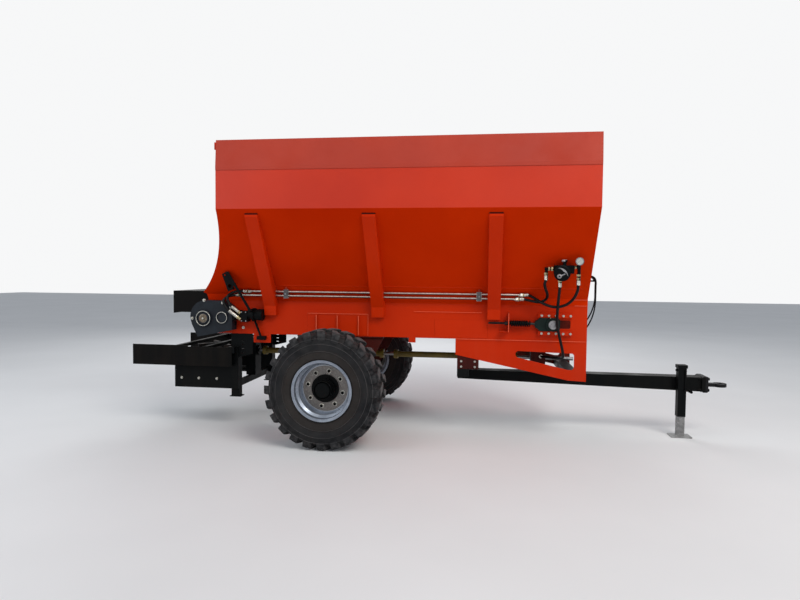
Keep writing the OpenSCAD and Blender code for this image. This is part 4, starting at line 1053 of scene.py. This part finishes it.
def held_hoses():
    """Centrelines of the three hoses of the valve and the two of the motor."""
    x, y, z, r, py, w = VALVE_X, VALVE_Y, VALVE_Z, HOP_R, PIPE_Y, -CHANNEL_HALF
    valve = (x, y, z)
    top_z, low_z = PIPE_Z
    top_x, low_x = (r + pipe_x + 0.034 for pipe_x in PIPE_X1)

    def before(fit, d):
        start, end = Vector(fit[0]), Vector(fit[1])
        return start - (end - start).normalized() * d

    top, lower = motor_fittings()
    return [
        offset(valve, [
            (-0.140, -0.030, -0.050), (-0.140, -0.030, -0.084), (-0.148, -0.024, -0.126),
            (-0.132, 0.004, -0.174), (-0.116, 0.050, -0.216), (-0.126, 0.100, -0.254)
        ]) + [(x - 0.172, py - 0.050, z - 0.276), (x - 0.236, py - 0.020, z - 0.270),
              (low_x + 0.040, py, low_z), (low_x, py, low_z)],
        offset(valve, [
            (0.116, -0.054, -0.090), (0.116, -0.054, -0.124), (0.113, -0.044, -0.172),
            (0.090, -0.014, -0.234), (0.044, 0.026, -0.286), (-0.026, 0.044, -0.312),
            (-0.096, 0.054, -0.306), (-0.166, 0.080, -0.276)
        ]) + [(x - 0.220, py - 0.034, z - 0.242), (top_x + 0.040, py, top_z), (top_x, py, top_z)],
        offset(valve, [
            (-0.026, -0.020, -0.110), (-0.026, -0.020, -0.150), (-0.032, -0.010, -0.240),
            (-0.034, 0.030, -0.350)
        ]) + offset((x, w, z), [
            (-0.028, -0.120, -0.450), (-0.012, -0.104, -0.530), (0.014, -0.076, -0.630),
            (0.034, -0.036, -0.704), (0.044, 0.040, -0.765)
        ]) + [(x + 0.024, -0.330, z - 0.786), (x - 0.040, -0.200, PTO_Z + 0.034),
              (PUMP_X + 0.020, -0.104, PTO_Z + 0.026), (PUMP_X + 0.020, -0.062, PTO_Z + 0.026)],
        [(r + PIPE_X0[0], py, top_z), (r + 0.044, py, top_z), (r - 0.030, py - 0.026, top_z - 0.008),
         (r - 0.074, MOTOR_Y - 0.066, top_z - 0.046), (r - 0.062, MOTOR_Y - 0.070, top_z - 0.104),
         before(top, 0.034), before(top, 0.0)],
        [(r + PIPE_X0[1], py, low_z), (r - 0.030, py, low_z), (r - 0.080, py - 0.044, low_z - 0.012),
         (r - 0.112, MOTOR_Y - 0.072, low_z - 0.050), (r - 0.090, MOTOR_Y - 0.074, low_z - 0.106),
         before(lower, 0.034), before(lower, 0.0)]
    ]


def make_held_hoses():
    """Round hoses with a swaged sleeve and a hexagon nut at both ends."""
    rubber, sleeves, nuts = meshes(3)
    for route in held_hoses():
        path = smooth_route(route, 7)
        sweep(rubber, path, HOSE_R, sides=16)
        for end, beyond in ((path[0], path[4]), (path[-1], path[-5])):
            axis = beyond - end
            crimp(sleeves, end, axis, HOSE_R, 0.038)
            hexagon(nuts, 0.027, -0.016, -0.002, towards(end, axis))
            lathe(nuts, [(0.010, -0.003), (0.0125, -0.0005), (0.0125, 0.001)], towards(end, axis), 20)
    tubes = piece("valve_hose_rubber", rubber, HOSE)
    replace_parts(tubes, "valve_hoses")
    piece("valve_hose_sleeves", sleeves, ZINC_BRIGHT)
    piece("valve_hose_nuts", nuts, BRASS)


make_held_hoses()


def make_motor_fittings():
    """Two swaged fittings with brass nuts that run down to the motor, and its cap screws."""
    sleeve, brass, screws = meshes(3)
    for start, end in motor_fittings():
        axis = Vector(end) - Vector(start)
        m = towards(start, axis)
        length = axis.length
        groove = length * 0.10
        profile = [(0.0125, -0.004)]
        for k in range(5):
            h = groove * k
            profile += [(0.0150, h), (0.0156, h + 0.002), (0.0156, h + groove - 0.003),
                        (0.0138, h + groove - 0.001)]
        lathe(sleeve, profile + [(0.0148, length * 0.52), (0.010, length * 0.54)], m, 28)
        hexagon(brass, 0.028, length * 0.56, length * 0.72, m)
        lathe(brass, [(0.0118, length * 0.70), (0.0118, length * 0.84), (0.0095, length * 0.86)], m, 24)
        hexagon(brass, 0.024, length * 0.84, length * 0.95, m)
    for dx, dz in product((-0.893, -0.853), (-0.056, 0.024)):
        place = (AXLE.x + dx, MOTOR_Y - 0.042, MOTOR_Z + dz)
        bolt(screws, place, RIGHTWARD, across=0.011, height=0.006, washer=False)
    piece("motor_fitting_sleeves", sleeve, ZINC_BRIGHT)
    piece("motor_fitting_nuts", brass, BRASS)
    piece("motor_screws", screws, STEEL)


make_motor_fittings()

# Gearbox at the drive shaft

SECOND_SEAL_Y = -0.617


def make_reducer_trim():
    """Bright seal rings, the shaft's end disc and the cap screws."""
    rings, disc, bolts = meshes(3)
    shaft = towards((DRIVE.x, low("reducer").y, DRIVE.z), RIGHTWARD)
    ring(rings, 0.0640, 0.0695, -0.001, 0.0026, shaft, steps=72)
    second = towards((DRIVE.x + 0.176, SECOND_SEAL_Y, DRIVE.z + 0.010), RIGHTWARD)
    ring(rings, 0.0475, 0.0525, -0.001, 0.0026, second, steps=64)
    end = towards((DRIVE.x, low("drive_shaft").y, DRIVE.z), RIGHTWARD)
    lathe(disc, [(0.039, -0.001), (0.039, 0.0012), (0.0365, 0.0022), (0.0150, 0.0022), (0.0125, 0.0006)],
          end, 48)
    hexagon(bolts, 0.019, 0.0010, 0.0095, end)
    for x, z in ((-2.128, 1.022), (-2.010, 1.190), (-1.680, 0.936), (-1.75, 1.13), (-1.83, 1.17)):
        bolt_on(bolts, ("reducer", "channel_right"), x, z, -1, across=0.017, height=0.010)
    piece("gearbox_rings", rings, ZINC_BRIGHT)
    piece("shaft_end_disc", disc, BRONZE)
    piece("gearbox_screws", bolts, ZINC_BRIGHT)


make_reducer_trim()

# Pipes


def make_pipe_trim():
    """Nuts and cones on the pipe ends, twin clamps with their screws and painted lugs."""
    nuts, clamps, covers, screws = meshes(4)
    for z, x0, x1 in zip(PIPE_Z, PIPE_X0, PIPE_X1):
        front = towards((HOP_R + x1, PIPE_Y, z), (1, 0, 0))
        hexagon(nuts, 0.032, 0.004, 0.026, front, turn=0.3)
        lathe(nuts, [(0.0104, -0.012), (0.0125, -0.008), (0.0125, 0.004)], front, 24)
        back = towards((HOP_R + x0 + 0.030, PIPE_Y, z), (-1, 0, 0))
        hexagon(nuts, 0.030, 0.0, 0.020, back, turn=0.5)
        lathe(nuts, [(0.0104, -0.010), (0.012, -0.006), (0.012, 0.0)], back, 24)
    y0 = PIPE_Y - 0.0175
    middle = (PIPE_Z[0] + PIPE_Z[1]) / 2
    lug_z = PIPE_Z[0] + 0.020
    for x in (HOP_R + 0.455, HOP_R + 2.195):
        rounded_bar(clamps, (x - 0.019, y0, PIPE_Z[1] - 0.020), (x + 0.019, PIPE_Y + 0.012, lug_z), 0.006)
        rounded_bar(clamps, (x - 0.015, y0 - 0.004, middle - 0.013), (x + 0.015, y0, middle + 0.013), 0.0035)
        bolt(screws, (x, y0 - 0.004, middle), RIGHTWARD, across=0.013, height=0.007, washer=False)
        rounded_bar(covers, (x - 0.012, PIPE_Y - 0.006, lug_z - 0.003),
                    (x + 0.012, PIPE_Y + 0.012, lug_z + 0.012), 0.003)
        bolt(covers, (x, PIPE_Y - 0.002, lug_z + 0.012), (0, 0, 1), across=0.015)
    piece("pipe_nuts", nuts, ZINC_BRIGHT)
    piece("pipe_clamps", clamps, GREY_PLASTIC)
    piece("pipe_clamp_lugs", covers, BOLT_ORANGE)
    piece("pipe_clamp_screws", screws, STEEL)


make_pipe_trim()

# Floor speed valve


def dial_point(hub, degrees, reach, aside=0.0):
    """Point on a dial that faces right: so far from its hub at an angle, and aside from there."""
    a = radians(degrees)
    x, y, z = hub
    return Vector((x + reach * cos(a) - aside * sin(a), y, z + reach * sin(a) + aside * cos(a)))


def blade(bm, hub, degrees, outline, thick):
    """Flat shape on a dial, its outline given as (reach, aside)."""
    plate(bm, [dial_point(hub, degrees, *point) for point in outline], thick)


def tick(bm, hub, degrees, start, end, half, thick):
    """Mark on a dial."""
    blade(bm, hub, degrees, [(start, -half), (end, -half), (end, half), (start, half)], thick)


def add_dial(parts, marks, black):
    """Rim, crescent scale with generic ticks, and the lever."""
    x, y, z = VALVE_X - 0.020, VALVE_Y - 0.096, VALVE_Z - 0.030
    rim = [(0.0645, 0.0), (0.0645, 0.001), (0.0625, 0.0025), (0.0460, 0.0025), (0.0450, 0.0015)]
    lathe(black, rim, towards((x, y, z), RIGHTWARD), 64)
    # The scale is a silver crescent round the lever's pivot, low on the left
    px, pz = x - 0.021, z - 0.026
    arc = (
        [(a, 0.068) for a in range(-2, 103, 5)]
        + [(a, 0.050 + 0.018 * abs(a - 50) / 53) for a in range(98, 2, -5)]
    )
    plate(parts, [dial_point((px, y - 0.0026, pz), a, r) for a, r in arc], 0.0008)
    for k in range(9):
        tick(marks, (px, y - 0.0034, pz), 14 + 72 * k / 8, 0.0590 if k % 4 else 0.0545, 0.0655, 0.0006,
             0.0003)
    pivot = towards((px, y, pz), RIGHTWARD)
    lathe(parts, [(0.0185, 0.002), (0.0185, 0.010), (0.0155, 0.013), (0.007, 0.014)], pivot, 32)
    arm = [(0, -0.006), (0.048, -0.0035), (0.052, 0), (0.048, 0.0035), (0, 0.006)]
    blade(parts, (px, y - 0.010, pz), 24, arm, 0.003)
    hexagon(black, 0.013, 0.014, 0.021, pivot)


def add_knob(bm):
    """Fluted grip on top of the valve."""
    knob = Vector((VALVE_X + 0.004, VALVE_Y - 0.044, VALVE_Z + 0.062))
    levels = ((0.0, 0.94), (0.002, 1.0), (0.014, 1.0), (0.0175, 0.93))
    loft(bm, [[knob + polar((0.0222 + 0.0011 * cos(12 * t)) * scale, t, h) for t in circle(96)]
              for h, scale in levels])


def add_gauge(parts, marks, face, glass):
    """Bezel, white face with plain ticks, needle and glass."""
    x, y, z = VALVE_X + 0.116, VALVE_Y - 0.104, VALVE_Z + 0.066
    m = towards((x, y, z), RIGHTWARD)
    ring(parts, 0.0275, 0.0325, -0.006, 0.0030, m, steps=56, soft=0.0012)
    lathe(face, [(0.0278, -0.001), (0.0278, 0.0004)], m, 48)
    for k in range(21):
        start, half = (0.0222, 0.00035) if k % 4 else (0.0195, 0.0006)
        tick(marks, (x, y - 0.0006, z), -45 + 270 * k / 20, start, 0.0250, half, 0.0002)
    blade(marks, (x, y - 0.0012, z), 222, [(-0.006, -0.0012), (0.021, 0), (-0.006, 0.0012)], 0.0003)
    lathe(glass, [(0.0276, 0.0022), (0.0276, 0.0030), (0.020, 0.0034), (0.001, 0.0035)], m, 48)


def make_valve_trim():
    """Dial, knob grip, gauge, brass unions round the body and the cover's screws."""
    parts, marks, brass, black, face, glass = meshes(6)
    add_dial(parts, marks, black)
    add_knob(parts)
    add_gauge(parts, marks, face, glass)
    # Unions: place from the valve's middle, direction, size across flats, length
    down = (0, 0, -1)
    for place, axis, across, length in (
        ((-0.086, -0.030, 0.004), (-1, 0, 0), 0.033, 0.016),
        ((-0.112, -0.030, 0.004), (-1, 0, 0), 0.031, 0.012),
        ((-0.140, -0.030, -0.028), down, 0.031, 0.014),
        ((-0.026, -0.020, -0.064), down, 0.033, 0.016),
        ((-0.026, -0.020, -0.090), down, 0.031, 0.014),
        ((0.084, -0.054, 0.020), (1, 0, 0), 0.028, 0.014),
        ((0.116, -0.054, -0.040), down, 0.032, 0.016),
        ((0.116, -0.054, -0.068), down, 0.030, 0.014),
        ((0.116, -0.054, 0.048), down, 0.031, 0.010)
    ):
        hexagon(brass, across, 0.0, length,
                towards(Vector(place) + Vector((VALVE_X, VALVE_Y, VALVE_Z)), axis))
    for dx, dz in product((-0.062, 0.062), (-0.024, 0.024)):
        bolt(black, (VALVE_X + dx, VALVE_Y - 0.070, VALVE_Z + dz), RIGHTWARD, across=0.012, height=0.006)
    for name, bm, finish in (
        ("valve_dial_parts", parts, STEEL), ("valve_scale_marks", marks, BLACK),
        ("valve_unions", brass, BRASS), ("valve_knob_and_rim", black, BLACK),
        ("gauge_face", face, WHITE_FACE), ("gauge_glass", glass, GLASS)
    ):
        piece(name, bm, finish)


make_valve_trim()

# Bolts, welds and small fittings of the frame


def make_frame_bolts():
    """Bolt heads where the plates meet."""
    dark, zinc = meshes(2)
    for y, z in product((-0.070, 0.070), (0.422, 0.524)):
        bolt(dark, (HOP_F + 1.1393, y, z), (1, 0, 0), across=0.024, height=0.013)
        bolt(dark, (HOP_F + 1.085, y, z), (-1, 0, 0), across=0.024, height=0.015, stud=0.010)
    for s in SIDES:
        for x in (-2.287, -2.116, -1.937):
            bolt_on(zinc, ("side_shields", "spinner_frame"), x, 0.450, s, across=0.015, height=0.008)
        for bm, places, levels, across, height in (
            (dark, (-0.30, -0.17, 0.10, 0.24), (0.560, 0.640), 0.024, 0.012),
            (zinc, (-1.074, -0.954), (0.632, 0.680), 0.012, 0.007)
        ):
            for x, z in product(places, levels):
                bolt_on(bm, ("drawbar_brackets",), HOP_F + x, z, s, across=across, height=height)
        for dx in (-0.34, -0.22, 0.22, 0.34):
            bolt_on(dark, ("axle_plates",), AXLE.x + dx, 0.527, s)
    for dx, dz in product((-0.045, 0.045), repeat=2):
        bolt_on(dark, ("drive_bearing",), DRIVE.x + dx, DRIVE.z + dz, 1, across=0.017)
    piece("frame_bolts_dark", dark, BLACK)
    piece("frame_bolts_zinc", zinc, ZINC_BRIGHT)


make_frame_bolts()

# Stiffening bars over the wheel, from the axle; ribs of the hopper, from its rear end

BAR_X = (-0.216, -0.020, 0.176)
BAR_Z = (CHANNEL_Z + 0.012, CHANNEL_Z + 0.186)
RIB_X = (0.300, 1.298, 2.324)


def make_plate_edges():
    """Rounded lips and edges of plates, as thin proud strips in a paler orange: a painted highlight along
    them.
    """
    bm = bmesh.new()
    apron_back = low("front_aprons").x
    bars = [(AXLE.x + x - 0.0038, AXLE.x + x + 0.0038, *BAR_Z, 0.0100, 0.0112, 0.0005) for x in BAR_X]
    # From x, to x, from z, to z, inner and outer face from the channel's side, easing
    strips = [
        (apron_back + 0.004, HOP_F - 0.012, CHANNEL_Z - 0.0022, CHANNEL_Z + 0.0022, 0.0004, 0.0018, 0.0006),
        (HOP_F - 0.132, HOP_F - 0.010, FOLD_Z - 0.0100, FOLD_Z - 0.0060, 0.0004, 0.0018, 0.0006),
        (HOP_F - 0.110, HOP_F - 0.010, FOLD_Z - 0.0610, FOLD_Z - 0.0570, 0.0004, 0.0018, 0.0006),
        (HOP_F - 1.500, HOP_F - 0.900, FOLD_Z - 0.1336, FOLD_Z - 0.1304, 0.0004, 0.0014, 0.0006),
        # Faces of the three stiffening bars over the wheel
        *bars,
        # Rim of the doubler plate behind them
        (AXLE.x - 0.298, AXLE.x + 0.262, CHANNEL_Z + 0.2010, CHANNEL_Z + 0.2048, 0.0030, 0.0038, 0.0003),
        (AXLE.x + 0.2610, AXLE.x + 0.2648, CHANNEL_Z + 0.010, CHANNEL_Z + 0.204, 0.0030, 0.0038, 0.0003),
        # Free edge of the tensioner's stop plate
        (STOP_X - 0.0056, STOP_X - 0.0004, CONV_Z - 0.066, CONV_Z + 0.094, 0.0900, 0.0908, 0.0003)
    ]
    for s in SIDES:
        for x0, x1, z0, z1, inner, outer, soft in strips:
            y0, y1 = sorted((s * (CHANNEL_HALF + inner), s * (CHANNEL_HALF + outer)))
            rounded_bar(bm, (x0, y0, z0), (x1, y1, z1), soft)
    piece("plate_edges", bm, EDGE_HIGHLIGHT_ORANGE)


make_plate_edges()


def make_welds():
    """Stitch welds along the ribs, a seam along each slope, and beads on the drawbar."""
    orange, dark = meshes(2)
    seam_z = FOLD_Z + 0.087
    for s in SIDES:
        side = "hopper_side_" + ("left" if s > 0 else "right")
        y = face_y(side, 0.0, seam_z, s)
        sweep(orange, [(HOP_R + 0.40, y, seam_z), (HOP_F - 0.05, y, seam_z)], 0.0030, sides=8)
        for x, edge, z in product(RIB_X, SIDES, (1.30, 1.42, 1.54, 1.66, 1.78, 1.88)):
            at = HOP_R + x + edge * (RIB_HALF + 0.002)
            ends = [(at, face_y(side, at, level, s), level) for level in (z, z + 0.045)]
            if all(y is not None for _, y, _ in ends):
                weld_bead(orange, *offset((0, s * 0.001, 0), ends), 0.0035)
        for x, edge in product(BAR_X, SIDES):
            at = AXLE.x + x + edge * 0.0065
            weld_bead(orange, *((at, s * (CHANNEL_HALF + 0.0035), z) for z in BAR_Z), 0.0025)
        weld_bead(dark, (HOP_F + 1.083, s * 0.071, 0.420), (HOP_F + 1.083, s * 0.071, 0.530), 0.004)
    piece("rib_welds", orange, ORANGE)
    piece("drawbar_welds", dark, BLACK)


make_welds()

# Floor, light and background

LAMP_SIZE = 5.0


def make_stage():
    """Pale floor that catches the shadow, and a white surround seen by the camera."""
    bpy.ops.mesh.primitive_plane_add(size=60, location=(0, 0, 0))
    floor = bpy.context.object
    floor.name = "floor"
    f = Finish("floor", 0.85, spec=0.2)
    f.mottle((0.80, 0.80, 0.80), (0.84, 0.84, 0.84), 0.6, 3.0, 0.3, 0.7)
    dress(floor, f.mat)

    world = bpy.data.worlds.new("world")
    bpy.context.scene.world = world
    world.use_nodes = True
    tree = world.node_tree
    tree.nodes.clear()
    new, link = tree.nodes.new, tree.links.new
    out = new("ShaderNodeOutputWorld")
    light, seen = new("ShaderNodeBackground"), new("ShaderNodeBackground")
    for node, colour, strength in ((light, (0.80, 0.86, 0.95, 1), 0.42), (seen, (0.93, 0.935, 0.94, 1), 1.0)):
        node.inputs["Color"].default_value = colour
        node.inputs["Strength"].default_value = strength
    path = new("ShaderNodeLightPath")
    white = path.outputs["Is Camera Ray"]
    for kind in ("Is Transmission Ray", "Is Glossy Ray"):
        either = new("ShaderNodeMath")
        either.operation = "MAXIMUM"
        link(white, either.inputs[0])
        link(path.outputs[kind], either.inputs[1])
        white = either.outputs[0]
    mixer = new("ShaderNodeMixShader")
    for source, socket in zip((white, light.outputs[0], seen.outputs[0]), mixer.inputs):
        link(source, socket)
    link(mixer.outputs[0], out.inputs[0])


def area_light(name, place, aim, watts, tint):
    """Soft square lamp at a place, aimed at a point."""
    data = bpy.data.lights.new(name, "AREA")
    data.size = LAMP_SIZE
    data.energy = watts
    data.color = tint
    lamp = add_object(name, data)
    lamp.location = place
    lamp.rotation_euler = (Vector(aim) - Vector(place)).to_track_quat("-Z", "Y").to_euler()


make_stage()
area_light("key", (4.5, -6.0, 7.5), (0, 0, 1.2), 520, (1.0, 0.97, 0.93))
area_light("fill", (-6.5, -5.0, 4.0), (0, 0, 1.0), 150, (0.92, 0.96, 1.0))
area_light("back", (-2.0, 7.0, 6.0), (0, 0, 1.5), 260, (1.0, 1.0, 1.0))

bpy.context.scene.view_settings.view_transform = "Standard"
